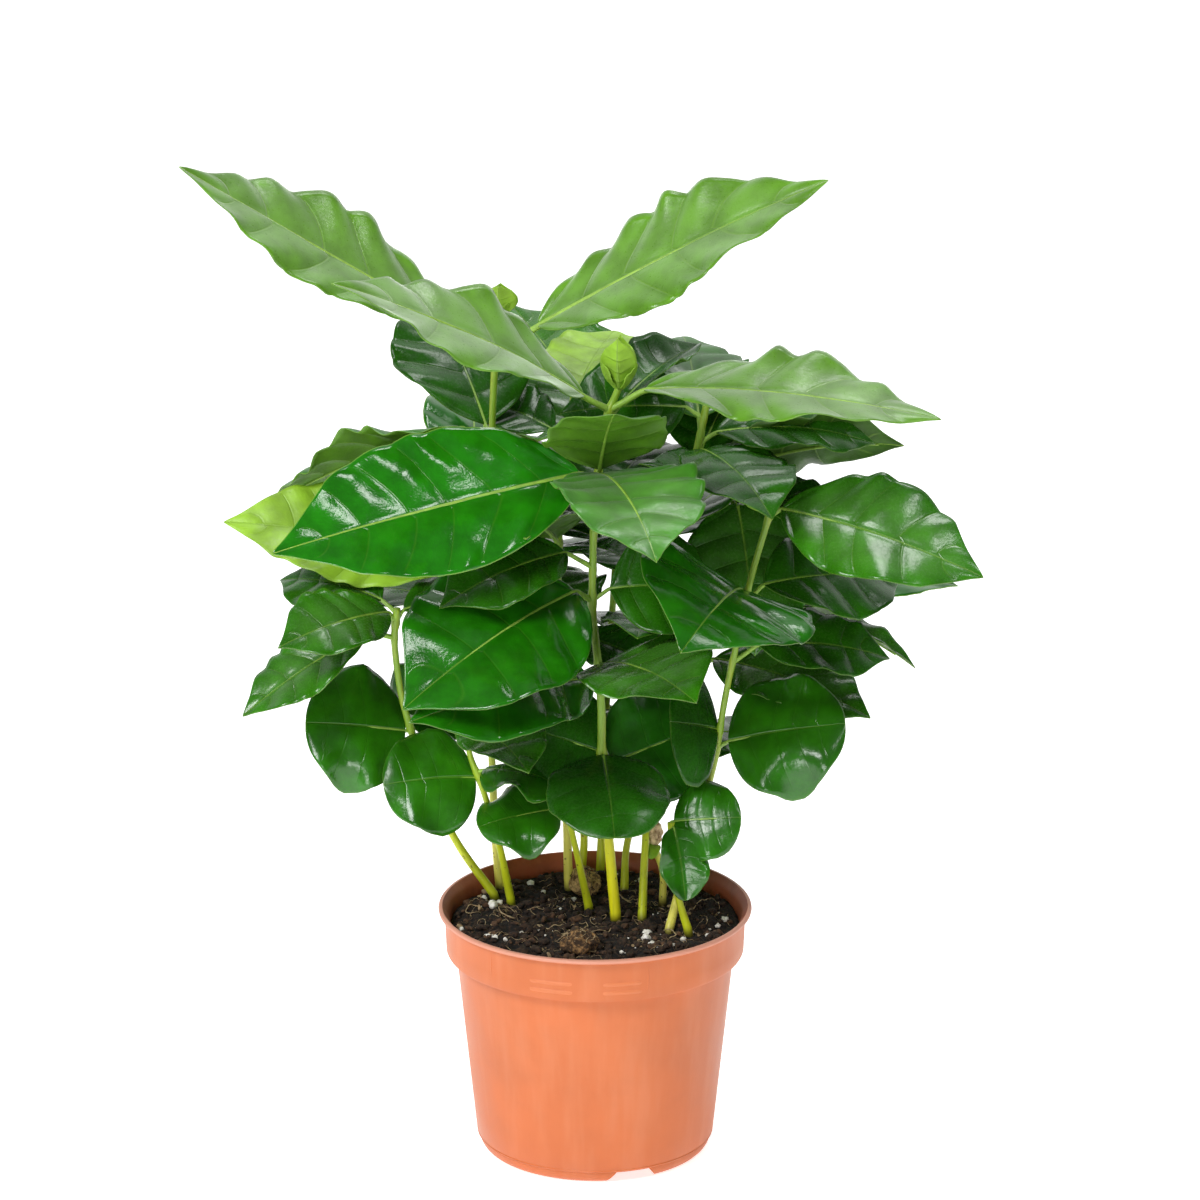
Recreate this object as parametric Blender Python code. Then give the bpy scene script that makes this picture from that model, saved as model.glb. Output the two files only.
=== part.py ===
"""Young coffee plants, grown together in one 12 cm nursery pot.

Units: the sizes below are in millimetres and degrees, and MM turns them into metres.
Origin: the middle of the pot's underside. +Z is up, and -Y is the side that faces the light.
An azimuth of 0 points along +X, and 90 along +Y.
"""

import itertools
import math
import random

import bmesh
import bpy
import numpy as np
from mathutils.bvhtree import BVHTree

MM = 0.001
GAP = 0.3

# The pot: a thin moulded wall that widens upwards, a deep band round its top, and a rolled lip.
POT_HEIGHT = 97
FOOT_RADIUS = 45
WALL_FLARE = 0.105
WALL = 1.6
BAND_BOTTOM = 79
BAND_RADIUS = 57
LIP_RADIUS = 60
LIP_DEPTH = 1.8
FOOT_CORNER = 4
FLOOR_RISE = 3.5
HUB_RADIUS = 9
FOOT_RING = 5
BASE_CURVE = [(2.4, 0.8), (3.8, 2.6)]
STEP_DEPTH = 1.5
POT_SIDES = 32
NOTCHES = 3
NOTCH_BEARING = 289
NOTCH_WIDTH = (20, 13)
NOTCH_HEIGHT = 4.5
DRAIN_HOLES = 6
DRAIN_RADIUS = 3.5
DRAIN_CIRCLE = 24
DRAIN_SIDES = 10

# The soil fills the pot to just under its lip, and clods stand out of it.
SOIL_TOP = 90
SOIL_SIDES = 28
CLODS = 13
CLOD_SEED = 5
LARGE_CLODS = [((-6, -30), (13, 12, 10)), ((-4, 33), (11, 10, 12))]
CLOD_WIDTH = (4, 8)
CLOD_SHAPE = ((0.7, 1), (0.5, 0.8))
CLOD_LIFT = 0.1
STEM_CLEARANCE = 4

# The blade's outline: how it swells from its foot and closes to its tip, how wide it is at most before
# scaling, and how its drip tip narrows. A round blade is a little wider near its foot.
SWELL = 0.72
CLOSE = 0.82
WIDEST = 0.342
DRIP_START = 0.78
DRIP_RUN = 0.18
DRIP_NARROWING = 0.45
ROUND_FOOT = 1.08
ROUND_TAPER = 0.16

# The blade's wavy margin, and where its stalk ends inside it.
WAVE_LENGTH = 22
WAVE_HEIGHT = 0.013
WAVE_OFFSET = 0.9
STALK_REACH = 0.07

# Leaf and stem solids. A blade of at least the first length takes the number of steps beside it.
LEAF_THICKNESS = 0.011
THINNEST_LEAF = 0.8
BLUNT_TIP = 0.9
BLADE_STEPS = [(100, 9), (60, 6), (25, 5), (0, 3)]
STEM_SIDES = 6
UPRIGHT_SHARE = 0.7
STALK_SIDES = 4
STALK_RADII = (1.15, 0.95, 0.3)
STEM_CUT_BELOW_LEAVES = 5
BUD_SIDES = 6
BUD_SHAPE = [(-0.12, 0.35), (0.35, 1), (0.7, 0.75), (1, 0.15)]

# A leaf that would touch a neighbour is tried at these sizes and turns, in this order.
TRIED_SCALES = (1, 0.8, 0.65)
TRIED_TURNS = (0, 6, -6, 12, -12, 22, -22, 36, -36, 54, -54)
TRIED_TILTS = (0, 6, -6, 13, -13)

STEM_COLOUR = (0.34, 0.42, 0.07)
LEAF_COLOUR = (0.02, 0.12, 0.015)
POT_COLOUR = (0.62, 0.22, 0.10)
SOIL_COLOUR = (0.022, 0.013, 0.009)
HUSK_COLOUR = (0.16, 0.09, 0.05)


def leaf(height, azimuth, rise, length, width, roll=0, droop=8, fold=8, stalk=8, lift=35, kind="blade"):
    """One leaf: where its stalk leaves the stem, and how its blade lies.

    rise is the slope from the blade's foot to its tip, roll turns the blade about that line,
    droop is the height of its arch in hundredths of the length, fold is the slope of its two halves,
    and lift is the slope of the stalk.
    """
    return dict(height=height, azimuth=azimuth, rise=rise, length=length, width=width, roll=roll,
                droop=droop, fold=fold, stalk=stalk, lift=lift, kind=kind)


def pairs(first_height, step, azimuth, sizes, seed):
    """Opposite pairs of leaves up a stem, each pair a quarter turn on from the last."""
    draw = random.Random(seed)
    leaves = []
    for rank, (length, width, rise) in enumerate(sizes):
        for side in (0, 180):
            leaves.append(leaf(
                height=first_height + rank * step + draw.uniform(-2, 2),
                azimuth=azimuth + 90 * rank + side + draw.uniform(-14, 14),
                rise=rise + draw.uniform(-9, 9),
                length=length * draw.uniform(0.9, 1.08),
                width=width * draw.uniform(0.9, 1.08),
                roll=draw.uniform(-22, 22),
                droop=draw.uniform(4, 11),
                kind="round" if rank == 0 else "blade",
            ))
    return leaves


# Each seedling: the way of its stem from the soil to its tip, its foot and tip thickness, its leaves,
# and its bud: length and radius, if it has one. The lowest pair is round, and each seedling leans out
# to its own light.
SEEDLINGS = {
    "centre": dict(
        way=[(8, 0, SOIL_TOP), (3, 0, 151), (2, 0, 186), (-1, 1, 219), (1, 2, 267), (4, 3, 288), (9, 4, 302)],
        thick=(4.3, 2.7),
        bud=(20, 5),
        leaves=[
            leaf(265, 202, -8, 124, 57, roll=-45, droop=3, fold=10),
            leaf(267, 286, -10, 74, 56, droop=10, fold=10, stalk=6),
            leaf(269, 278, 40, 50, 46, droop=6, fold=12, stalk=5),
            leaf(293, 201, 28, 112, 46, roll=-24, droop=4, stalk=12),
            leaf(293, 346, -2, 113, 46, roll=10, droop=4, stalk=16),
            leaf(288, 55, 12, 60, 28, droop=6, fold=30, stalk=6),
            leaf(232, 210, -14, 56, 36, roll=-25, stalk=14),
            leaf(219, 222, -18, 90, 66, roll=-30, stalk=10),
            leaf(219, 8, -4, 42, 46, roll=45),
            leaf(246, 75, 4, 66, 46),
            leaf(193, 302, 2, 64, 52, roll=12, stalk=5),
            leaf(186, 222, 2, 90, 44, roll=-38, droop=6, stalk=6),
            leaf(156, 276, -26, 44, 47, droop=4, stalk=6, kind="round"),
            leaf(151, 24, 10, 42, 46, roll=50, droop=4, stalk=5, kind="round"),
            leaf(158, 166, 14, 24, 42, roll=-50, droop=4, fold=6, stalk=2, kind="round"),
        ],
    ),
    "tall": dict(
        way=[(-37, 34, SOIL_TOP), (-39, 35, 120), (-40, 37, 160), (-39, 36, 208), (-39, 35, 278),
             (-36, 35, 322)],
        thick=(3.8, 2.7),
        bud=(12, 5),
        leaves=[
            leaf(307, 193, 33, 127, 45, roll=-32, droop=0, stalk=16),
            leaf(307, 350, 29, 126, 48, roll=34, droop=2, stalk=19),
            leaf(272, 112, 28, 68, 54, droop=6),
            leaf(268, 160, -26, 90, 42, roll=30, droop=4, stalk=14),
            leaf(218, 178, 8, 94, 45, roll=-38, droop=4, stalk=12),
            leaf(262, 300, 10, 50, 30, droop=6),
            leaf(236, 70, 2, 84, 44, roll=12),
            leaf(196, 118, -6, 78, 46, roll=-8),
            leaf(152, 150, 4, 42, 44, droop=4, stalk=6, kind="round"),
            leaf(152, 20, 6, 40, 42, droop=4, stalk=6, kind="round"),
        ],
    ),
    "left": dict(
        way=[(-38, 24, SOIL_TOP), (-57, 26, 120), (-72, 18, 167), (-76, 14, 196), (-75, 13, 212)],
        thick=(3.8, 2.5),
        leaves=[
            leaf(161, 190, 8, 39, 50, roll=-55, droop=4, fold=6, stalk=2, lift=0, kind="round"),
            leaf(163, 60, 10, 40, 42, droop=4, fold=6, stalk=5, kind="round"),
            leaf(200, 198, -31, 57, 29, roll=-25, droop=4, stalk=12, lift=20),
            leaf(206, 215, -6, 50, 32, roll=-30, stalk=6, lift=60),
            leaf(206, 20, 0, 40, 26, roll=20, stalk=6, lift=60),
            leaf(210, 150, 0, 46, 36, roll=-20),
        ],
    ),
    "saddle": dict(
        way=[(-32, 17, SOIL_TOP), (-37, 11, 118), (-43, 5, 143), (-48, 3, 159), (-47, 2, 177)],
        thick=(3.6, 2.2),
        leaves=[
            leaf(146, 194, 0, 36, 43, roll=-50, fold=6, stalk=2, kind="round"),
            leaf(149, 330, 6, 34, 34, fold=6, stalk=4, kind="round"),
            leaf(166, 300, -8, 42, 34, stalk=6),
        ],
    ),
    "right": dict(
        way=[(28, -12, SOIL_TOP), (33, -2, 107), (45, 7, 150), (49, 7, 175), (53, 8, 196), (58, 9, 221),
             (67, 13, 254)],
        thick=(3.7, 2.4),
        leaves=[
            leaf(219, 250, -2, 72, 70, roll=-25, droop=14, stalk=5),
            leaf(249, 337, -12, 83, 46, roll=38, droop=6, stalk=6),
            leaf(158, 350, 12, 46, 50, roll=50, droop=4, fold=6, stalk=5, kind="round"),
            leaf(165, 198, 14, 20, 48, roll=-50, droop=4, fold=6, stalk=1, kind="round"),
            leaf(216, 30, -8, 62, 44, roll=35, stalk=10),
            leaf(192, 10, -10, 52, 32, roll=30, stalk=12),
            leaf(249, 150, 22, 46, 36),
        ],
    ),
    "second": dict(
        way=[(18, 2, SOIL_TOP), (19, 12, 112), (21, 27, 150), (24, 30, 214), (37, 30, 262), (42, 30, 287)],
        thick=(3.6, 2.7),
        leaves=[
            leaf(268, 293, -28, 54, 44, stalk=6),
            leaf(272, 8, -7, 62, 34, roll=20),
            leaf(252, 12, 6, 78, 42, roll=-52, stalk=10),
            leaf(276, 95, 14, 62, 42),
            leaf(282, 178, -4, 48, 38, roll=-50),
            leaf(232, 60, 0, 80, 46, roll=-10),
            leaf(214, 130, 0, 60, 44),
            leaf(198, 250, 4, 52, 42),
            leaf(198, 70, -4, 64, 44),
            leaf(260, 100, 20, 50, 44),
        ],
    ),
    "short": dict(
        way=[(-2, 10, SOIL_TOP), (-8, 2, 122), (-12, -2, 143)],
        thick=(3.6, 2.4),
        leaves=[
            leaf(134, 162, -8, 32, 34, roll=-24, droop=4, fold=6, stalk=5, kind="round"),
            leaf(137, 60, -8, 30, 32, roll=20, droop=4, fold=6, stalk=5, kind="round"),
        ],
    ),
    "folded": dict(
        way=[(36, -14, SOIL_TOP), (30, -12, 112), (29, -10, 134)],
        thick=(3.6, 2.4),
        leaves=[
            leaf(131, 292, -66, 28, 20, droop=4, fold=40, stalk=3, kind="round"),
            leaf(136, 352, 6, 26, 32, roll=55, droop=4, fold=6, stalk=1, kind="round"),
        ],
    ),
    "inner": dict(
        way=[(-10, 35, SOIL_TOP), (-12, 36, 150), (-14, 40, 230), (-8, 46, 286)],
        thick=(3.8, 2.8),
        leaves=[
            leaf(282, 75, 9, 56, 40, droop=4),
            leaf(268, 200, 8, 44, 30, roll=-20, droop=6),
            leaf(272, 25, 2, 66, 40, droop=6),
        ] + pairs(156, 36, 70, [(40, 40, 5), (66, 40, -2), (80, 46, 0)], seed=3),
    ),
    "rear": dict(
        way=[(2, 47, SOIL_TOP), (4, 60, 150), (8, 72, 216), (10, 76, 262)],
        thick=(3.6, 2.8),
        bud=(14, 3.5),
        leaves=[
            leaf(222, 276, -45, 60, 44),
            leaf(168, 272, -32, 44, 42, kind="round"),
        ] + pairs(148, 34, 20, [(40, 42, 4), (72, 42, -6), (88, 50, 2), (94, 50, 12)], seed=8),
    ),
    "rear_left": dict(
        way=[(-5, 49, SOIL_TOP), (-6, 56, 114), (-26, 66, 156), (-42, 72, 196), (-50, 76, 240)],
        thick=(3.4, 2.6),
        leaves=[leaf(160, 280, -32, 44, 42, kind="round")]
        + pairs(142, 31, 160, [(38, 40, 2), (68, 42, -8), (82, 48, 4), (72, 42, 16)], seed=12),
    ),
    "rear_right": dict(
        way=[(11, 29, SOIL_TOP), (14, 38, 114), (32, 48, 152), (47, 56, 200), (54, 60, 240)],
        thick=(3.4, 2.6),
        leaves=[leaf(198, 356, -21, 76, 24, fold=32, stalk=8), leaf(237, 280, -48, 62, 50)]
        + pairs(144, 31, 20, [(38, 40, 2), (70, 42, -8), (84, 48, 2), (70, 42, 14)], seed=21),
    ),
}

# A seed that has only just lifted its head, still in its papery husk.
SPROUT_WAY = [(26, 20, SOIL_TOP), (26, 20, 103), (22.5, 20, 113)]
SPROUT_THICK = (3.4, 2.6)
HUSK_SIZE = (6.5, 6.5, 10.5)


def clear_scene():
    for obj in list(bpy.data.objects):
        bpy.data.objects.remove(obj)


def new_material(name, colour, roughness):
    material = bpy.data.materials.new(name)
    material.use_nodes = True
    shader = material.node_tree.nodes["Principled BSDF"]
    shader.inputs["Base Color"].default_value = (*colour, 1)
    shader.inputs["Roughness"].default_value = roughness
    shader.inputs["Metallic"].default_value = 0
    return material


def new_object(name, points, faces, material):
    """A closed mesh from points in millimetres, with its faces turned out."""
    mesh = bpy.data.meshes.new(name)
    mesh.from_pydata([tuple(np.asarray(point, float) * MM) for point in points], [], faces)
    shape = bmesh.new()
    shape.from_mesh(mesh)
    bmesh.ops.recalc_face_normals(shape, faces=shape.faces[:])
    shape.to_mesh(mesh)
    shape.free()
    mesh.materials.append(material)
    obj = bpy.data.objects.new(name, mesh)
    bpy.context.scene.collection.objects.link(obj)
    return obj


def join(name, objects, solver="EXACT"):
    """One solid from many: a Boolean union over a collection, applied."""
    first, *others = objects
    group = bpy.data.collections.new(name + "_pieces")
    for obj in others:
        group.objects.link(obj)
    union = first.modifiers.new("Union", "BOOLEAN")
    union.operand_type = "COLLECTION"
    union.collection = group
    union.operation = "UNION"
    union.solver = solver
    graph = bpy.context.evaluated_depsgraph_get()
    joined = bpy.data.meshes.new_from_object(first.evaluated_get(graph))
    material = first.data.materials[0]
    for obj in objects:
        bpy.data.objects.remove(obj)
    bpy.data.collections.remove(group)
    joined.materials.clear()
    joined.materials.append(material)
    result = bpy.data.objects.new(name, joined)
    bpy.context.scene.collection.objects.link(result)
    return result


def heading(azimuth, rise):
    """The unit direction at an azimuth and a slope."""
    turn, slope = math.radians(azimuth), math.radians(rise)
    return np.array([math.cos(turn) * math.cos(slope), math.sin(turn) * math.cos(slope), math.sin(slope)])


def cross_frame(along, roll=0):
    """The side and the face direction of something that runs along a direction, rolled about it."""
    side = np.cross((0, 0, 1), along)
    if np.linalg.norm(side) < 1e-6:
        side = np.array([1.0, 0, 0])
    side = side / np.linalg.norm(side)
    face = np.cross(along, side)
    turn = math.radians(roll)
    return side * math.cos(turn) + face * math.sin(turn), face * math.cos(turn) - side * math.sin(turn)


def way_point(way, share):
    """The point at a share of a smooth curve through the way's points."""
    points = np.asarray(way, float)
    spans = len(points) - 1
    place = min(max(share, 0), 1) * spans
    span = min(int(place), spans - 1)
    part = place - span
    start, end = points[span], points[span + 1]
    before = points[span - 1] if span else 2 * start - end
    after = points[span + 2] if span + 2 <= spans else 2 * end - start
    return 0.5 * (2 * start + (end - before) * part + (2 * before - 5 * start + 4 * end - after) * part ** 2
                  + (3 * start - before - 3 * end + after) * part ** 3)


def share_at_height(way, height):
    """The share of the way at which it reaches a height."""
    low, high = 0.0, 1.0
    for _ in range(40):
        middle = (low + high) / 2
        if way_point(way, middle)[2] < height:
            low = middle
        else:
            high = middle
    return (low + high) / 2


def tube(points, radii, sides, level_start=False):
    """Points and faces of a closed, tapering tube."""
    centres = [np.asarray(point, float) for point in points]
    run = centres[-1] - centres[0]
    upright = abs(run[2]) > UPRIGHT_SHARE * np.linalg.norm(run)
    corners, faces = [], []
    for index, (centre, radius) in enumerate(zip(centres, radii)):
        along = centres[min(index + 1, len(centres) - 1)] - centres[max(index - 1, 0)]
        if level_start and index == 0:
            along = np.array([0, 0, 1.0])
        along = along / np.linalg.norm(along)
        side, face = cross_frame(along)
        if upright:
            side = np.array([1.0, 0, 0]) - along * along[0]
            side /= np.linalg.norm(side)
            face = np.cross(along, side)
        for corner in range(sides):
            turn = 2 * math.pi * corner / sides
            corners.append(centre + radius * (side * math.cos(turn) + face * math.sin(turn)))
    for ring in range(len(centres) - 1):
        for corner in range(sides):
            after = (corner + 1) % sides
            faces.append((ring * sides + corner, ring * sides + after,
                          (ring + 1) * sides + after, (ring + 1) * sides + corner))
    faces.append(tuple(range(sides))[::-1])
    faces.append(tuple((len(centres) - 1) * sides + corner for corner in range(sides)))
    return corners, faces


def stem_stretch(seedling, low, high, step, level_start=False):
    """The stretch of a stem between two shares of its way."""
    steps = max(2, round((high - low) * (len(seedling["way"]) - 1) * step))
    shares = np.linspace(low, high, steps + 1)
    foot, tip = seedling["thick"]
    radii = [(foot + (tip - foot) * share) / 2 for share in shares]
    return tube([way_point(seedling["way"], share) for share in shares], radii, STEM_SIDES, level_start)


def half_width(share, kind):
    """The blade's half width at a share of its length, as a share of its widest."""
    if kind == "round":
        return math.sqrt(max(0.0, 1 - (2 * share - 1) ** 2)) * (ROUND_FOOT - ROUND_TAPER * share)
    drip = min(1.0, max(0.0, (share - DRIP_START) / DRIP_RUN))
    return share ** SWELL * (1 - share) ** CLOSE / WIDEST * (1 - DRIP_NARROWING * drip)


def blade_point(foot, spec, share, across):
    """A point of the blade's middle surface: share runs from foot to tip, across from -1 to 1."""
    along = heading(spec["azimuth"], spec["rise"])
    side, face = cross_frame(along, spec["roll"])
    half = half_width(share, spec["kind"]) * spec["width"] / 2
    arch = spec["length"] * spec["droop"] / 100 * 4 * share * (1 - share)
    phase = 2 * math.pi * spec["length"] / WAVE_LENGTH * share + (WAVE_OFFSET if across > 0 else 0)
    ripple = WAVE_HEIGHT * spec["length"] * math.sin(phase) * across ** 2 * math.sin(math.pi * share)
    rise = arch + math.tan(math.radians(spec["fold"])) * abs(across) * half + ripple
    return foot + along * spec["length"] * share + side * half * across + face * rise


def blade(foot, spec):
    """Points and faces of a closed thin blade, with its midrib as a fold."""
    steps = next(count for length, count in BLADE_STEPS if spec["length"] > length)
    half_thick = max(THINNEST_LEAF, LEAF_THICKNESS * spec["length"]) / 2
    side, face = cross_frame(heading(spec["azimuth"], spec["rise"]), spec["roll"])
    corners, faces = [], []
    for step in range(steps + 1):
        share = (1 - math.cos(math.pi * step / steps)) / 2 if spec["kind"] == "round" else step / steps
        short_of_blunt = max(0, BLUNT_TIP - half_width(share, spec["kind"]) * spec["width"] / 2)
        for up in (1, -1):
            for across in (-1, 0, 1):
                point = blade_point(foot, spec, share, across) + side * across * short_of_blunt
                corners.append(point + face * half_thick * up)
    for step in range(steps):
        row = 6 * step
        ring = [row, row + 1, row + 2, row + 5, row + 4, row + 3]
        for index, corner in enumerate(ring):
            after = ring[(index + 1) % 6]
            faces.append((corner, after, after + 6, corner + 6))
    faces.append((0, 3, 4, 1))
    faces.append((1, 4, 5, 2))
    last = 6 * steps
    faces.append((last, last + 1, last + 4, last + 3))
    faces.append((last + 1, last + 2, last + 5, last + 4))
    return corners, faces


def stalk(node, foot, spec):
    """Points and faces of a leaf stalk, from inside the stem to well inside the blade."""
    return tube([node, foot, blade_point(foot, spec, STALK_REACH, 0)], STALK_RADII, STALK_SIDES)


def tree_of(solid):
    corners, faces = solid
    return BVHTree.FromPolygons([tuple(corner) for corner in corners], faces)


def leaf_place(seedling, spec):
    """Where a leaf's stalk leaves the stem, and where its blade starts."""
    node = way_point(seedling["way"], share_at_height(seedling["way"], spec["height"]))
    return node, node + heading(spec["azimuth"], spec["lift"]) * spec["stalk"]


def placed_leaf(seedling, spec, keep_clear):
    """The leaf's two solids and their trees, turned if they would touch a neighbour, or None."""
    for scale, turn, tilt in itertools.product(TRIED_SCALES, TRIED_TURNS, TRIED_TILTS):
        tried = dict(spec, azimuth=spec["azimuth"] + turn, rise=spec["rise"] + tilt,
                     length=spec["length"] * scale, width=spec["width"] * scale)
        node, foot = leaf_place(seedling, tried)
        solids = [blade(foot, tried), stalk(node, foot, tried)]
        trees = [tree_of(solid) for solid in solids]
        if not any(tree.overlap(other) for tree in trees for other in keep_clear):
            return solids, trees
    return None


def bud(seedling):
    """Young leaves still pressed together: a spindle on the tip of the stem."""
    top = np.asarray(seedling["way"][-1], float)
    length, radius = seedling["bud"]
    rings = [top + (0, 0, up * length) for up, _ in BUD_SHAPE]
    return tube(rings, [wide * radius for _, wide in BUD_SHAPE], BUD_SIDES)


def grow(stem_material, leaf_material):
    """Every seedling: its bare stem first, then the leafy part, each leaf clear of every other seedling."""
    bare, leafy, cuts = {}, {}, {}
    for name, seedling in SEEDLINGS.items():
        lowest = min(spec["height"] for spec in seedling["leaves"])
        cut = share_at_height(seedling["way"], lowest - STEM_CUT_BELOW_LEAVES)
        cuts[name] = share_at_height(seedling["way"], lowest - STEM_CUT_BELOW_LEAVES + GAP)
        start = share_at_height(seedling["way"], SOIL_TOP + GAP)
        bare[name] = stem_stretch(seedling, start, cut, 2, level_start=True)
        new_object("stem_" + name, *bare[name], stem_material)
    limbs = {name: [tree_of(solid)] for name, solid in bare.items()}
    for name, seedling in SEEDLINGS.items():
        upper = stem_stretch(seedling, cuts[name], 1, 2)
        leafy[name] = [upper]
        limbs[name].append(tree_of(upper))
    foliage = {name: [] for name in SEEDLINGS}
    for name, seedling in SEEDLINGS.items():
        own_stem = limbs[name][0]
        others = [tree for other in SEEDLINGS if other != name for tree in limbs[other] + foliage[other]]
        for spec in seedling["leaves"]:
            placed = placed_leaf(seedling, spec, others + [own_stem])
            if placed:
                leafy[name] += placed[0]
                foliage[name] += placed[1]
        if "bud" in seedling:
            leafy[name].append(bud(seedling))
            foliage[name].append(tree_of(leafy[name][-1]))
    for name, solids in leafy.items():
        pieces = [new_object(f"{name}_{index}", *solid, leaf_material) for index, solid in enumerate(solids)]
        join("foliage_" + name, pieces, "MANIFOLD")


def wall_radius(height):
    """The pot's outer radius at a height under the band."""
    return FOOT_RADIUS + WALL_FLARE * height


def lathe(name, profile, sides, material):
    """A solid turned about Z from a profile that starts and ends on the axis."""
    corners = [(0, 0, profile[0][1]), (0, 0, profile[-1][1])]
    rings = profile[1:-1]
    faces = []
    for radius, height in rings:
        for side in range(sides):
            turn = 2 * math.pi * side / sides
            corners.append((radius * math.cos(turn), radius * math.sin(turn), height))
    for side in range(sides):
        after = (side + 1) % sides
        for ring in range(len(rings) - 1):
            low, high = 2 + ring * sides, 2 + (ring + 1) * sides
            faces.append((low + side, low + after, high + after, high + side))
        last = 2 + (len(rings) - 1) * sides
        faces.append((0, 2 + after, 2 + side))
        faces.append((1, last + side, last + after))
    return new_object(name, corners, faces, material)


def cut(obj, cutters):
    """The object with every cutter taken out of it, applied."""
    material = obj.data.materials[0]
    for cutter in cutters:
        difference = obj.modifiers.new("Cut", "BOOLEAN")
        difference.object = cutter
        difference.operation = "DIFFERENCE"
        difference.solver = "EXACT"
    graph = bpy.context.evaluated_depsgraph_get()
    whole = bpy.data.meshes.new_from_object(obj.evaluated_get(graph))
    obj.modifiers.clear()
    obj.data = whole
    whole.materials.clear()
    whole.materials.append(material)
    for cutter in cutters:
        bpy.data.objects.remove(cutter)


def notch_cutter(bearing, material):
    """A wedge across the foot ring, wider at the ground."""
    turn = math.radians(bearing)
    out = np.array([math.cos(turn), math.sin(turn), 0])
    side = np.array([-out[1], out[0], 0])
    corners = []
    for reach in (FOOT_RADIUS - 14, FOOT_RADIUS + 6):
        for half, height in ((NOTCH_WIDTH[0] / 2 + 0.8, -1), (NOTCH_WIDTH[1] / 2, NOTCH_HEIGHT)):
            middle = out * reach + (0, 0, height)
            corners += [middle - side * half, middle + side * half]
    faces = [(0, 1, 3, 2), (4, 6, 7, 5), (0, 4, 5, 1), (2, 3, 7, 6), (0, 2, 6, 4), (1, 5, 7, 3)]
    return new_object("notch", corners, faces, material)


def make_pot(material):
    ring_outer = FOOT_RADIUS - FOOT_CORNER
    ring_inner = ring_outer - FOOT_RING
    floor = FLOOR_RISE + WALL
    step = BAND_BOTTOM - STEP_DEPTH
    profile = [
        (0, 0), (HUB_RADIUS, 0), (HUB_RADIUS + 1, FLOOR_RISE), (ring_inner - 1, FLOOR_RISE),
        (ring_inner, 0), (ring_outer, 0), *[(ring_outer + out, up) for out, up in BASE_CURVE],
        (wall_radius(5), 5), (wall_radius(BAND_BOTTOM), BAND_BOTTOM), (BAND_RADIUS - 0.7, BAND_BOTTOM),
        (BAND_RADIUS, BAND_BOTTOM + 0.8), (BAND_RADIUS + 0.6, POT_HEIGHT - LIP_DEPTH),
        (LIP_RADIUS - 0.4, POT_HEIGHT - LIP_DEPTH + 0.2), (LIP_RADIUS, POT_HEIGHT - LIP_DEPTH / 2),
        (LIP_RADIUS - 0.3, POT_HEIGHT - 0.3), (LIP_RADIUS - 0.9, POT_HEIGHT), (LIP_RADIUS - 3.2, POT_HEIGHT),
        (BAND_RADIUS - WALL, POT_HEIGHT - 1.6), (BAND_RADIUS - WALL - 0.4, BAND_BOTTOM + 1),
        (wall_radius(step) - WALL, step), (wall_radius(floor) - WALL - 1, floor + 2),
        (wall_radius(floor) - WALL - 4, floor), (0, floor),
    ]
    pot = lathe("pot", profile, POT_SIDES, material)
    cutters = [notch_cutter(NOTCH_BEARING + 360 / NOTCHES * index, material) for index in range(NOTCHES)]
    for index in range(DRAIN_HOLES):
        turn = 2 * math.pi * (index + 0.5) / DRAIN_HOLES
        middle = np.array([math.cos(turn), math.sin(turn), 0]) * DRAIN_CIRCLE
        solid = tube([middle + (0, 0, 1), middle + (0, 0, 9)], [DRAIN_RADIUS] * 2, DRAIN_SIDES)
        cutters.append(new_object("drain", *solid, material))
    cut(pot, cutters)


def lump(centre, size, turn, material):
    """A rough rounded lump: an icosphere, stretched and turned."""
    mesh = bpy.data.meshes.new("lump")
    shape = bmesh.new()
    bmesh.ops.create_icosphere(shape, subdivisions=1, radius=0.5)
    cos_turn, sin_turn = math.cos(turn), math.sin(turn)
    for vertex in shape.verts:
        x, y, z = (part * width for part, width in zip(vertex.co, size))
        vertex.co = [(x * cos_turn - y * sin_turn + centre[0]) * MM,
                     (x * sin_turn + y * cos_turn + centre[1]) * MM, (z + centre[2]) * MM]
    shape.to_mesh(mesh)
    shape.free()
    mesh.materials.append(material)
    obj = bpy.data.objects.new("lump", mesh)
    bpy.context.scene.collection.objects.link(obj)
    return obj


def stem_feet():
    ways = [seedling["way"] for seedling in SEEDLINGS.values()] + [SPROUT_WAY]
    return [np.array(way[0][:2]) for way in ways]


def clods():
    """Places and sizes of the clods: two large ones in front, the rest strewn clear of the stems."""
    chosen = list(LARGE_CLODS)
    draw = random.Random(CLOD_SEED)
    reach = BAND_RADIUS - WALL - 8
    while len(chosen) < CLODS:
        radius, turn = reach * math.sqrt(draw.random()), draw.uniform(0, 2 * math.pi)
        place = np.array([radius * math.cos(turn), radius * math.sin(turn)])
        wide = draw.uniform(*CLOD_WIDTH)
        if min(np.linalg.norm(place - foot) for foot in stem_feet()) < wide / 2 + STEM_CLEARANCE:
            continue
        if min(np.linalg.norm(place - other) - size[0] / 2 for other, size in chosen) < wide / 2 - 1:
            continue
        chosen.append((tuple(place), (wide, *[wide * draw.uniform(*span) for span in CLOD_SHAPE])))
    return chosen


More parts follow.
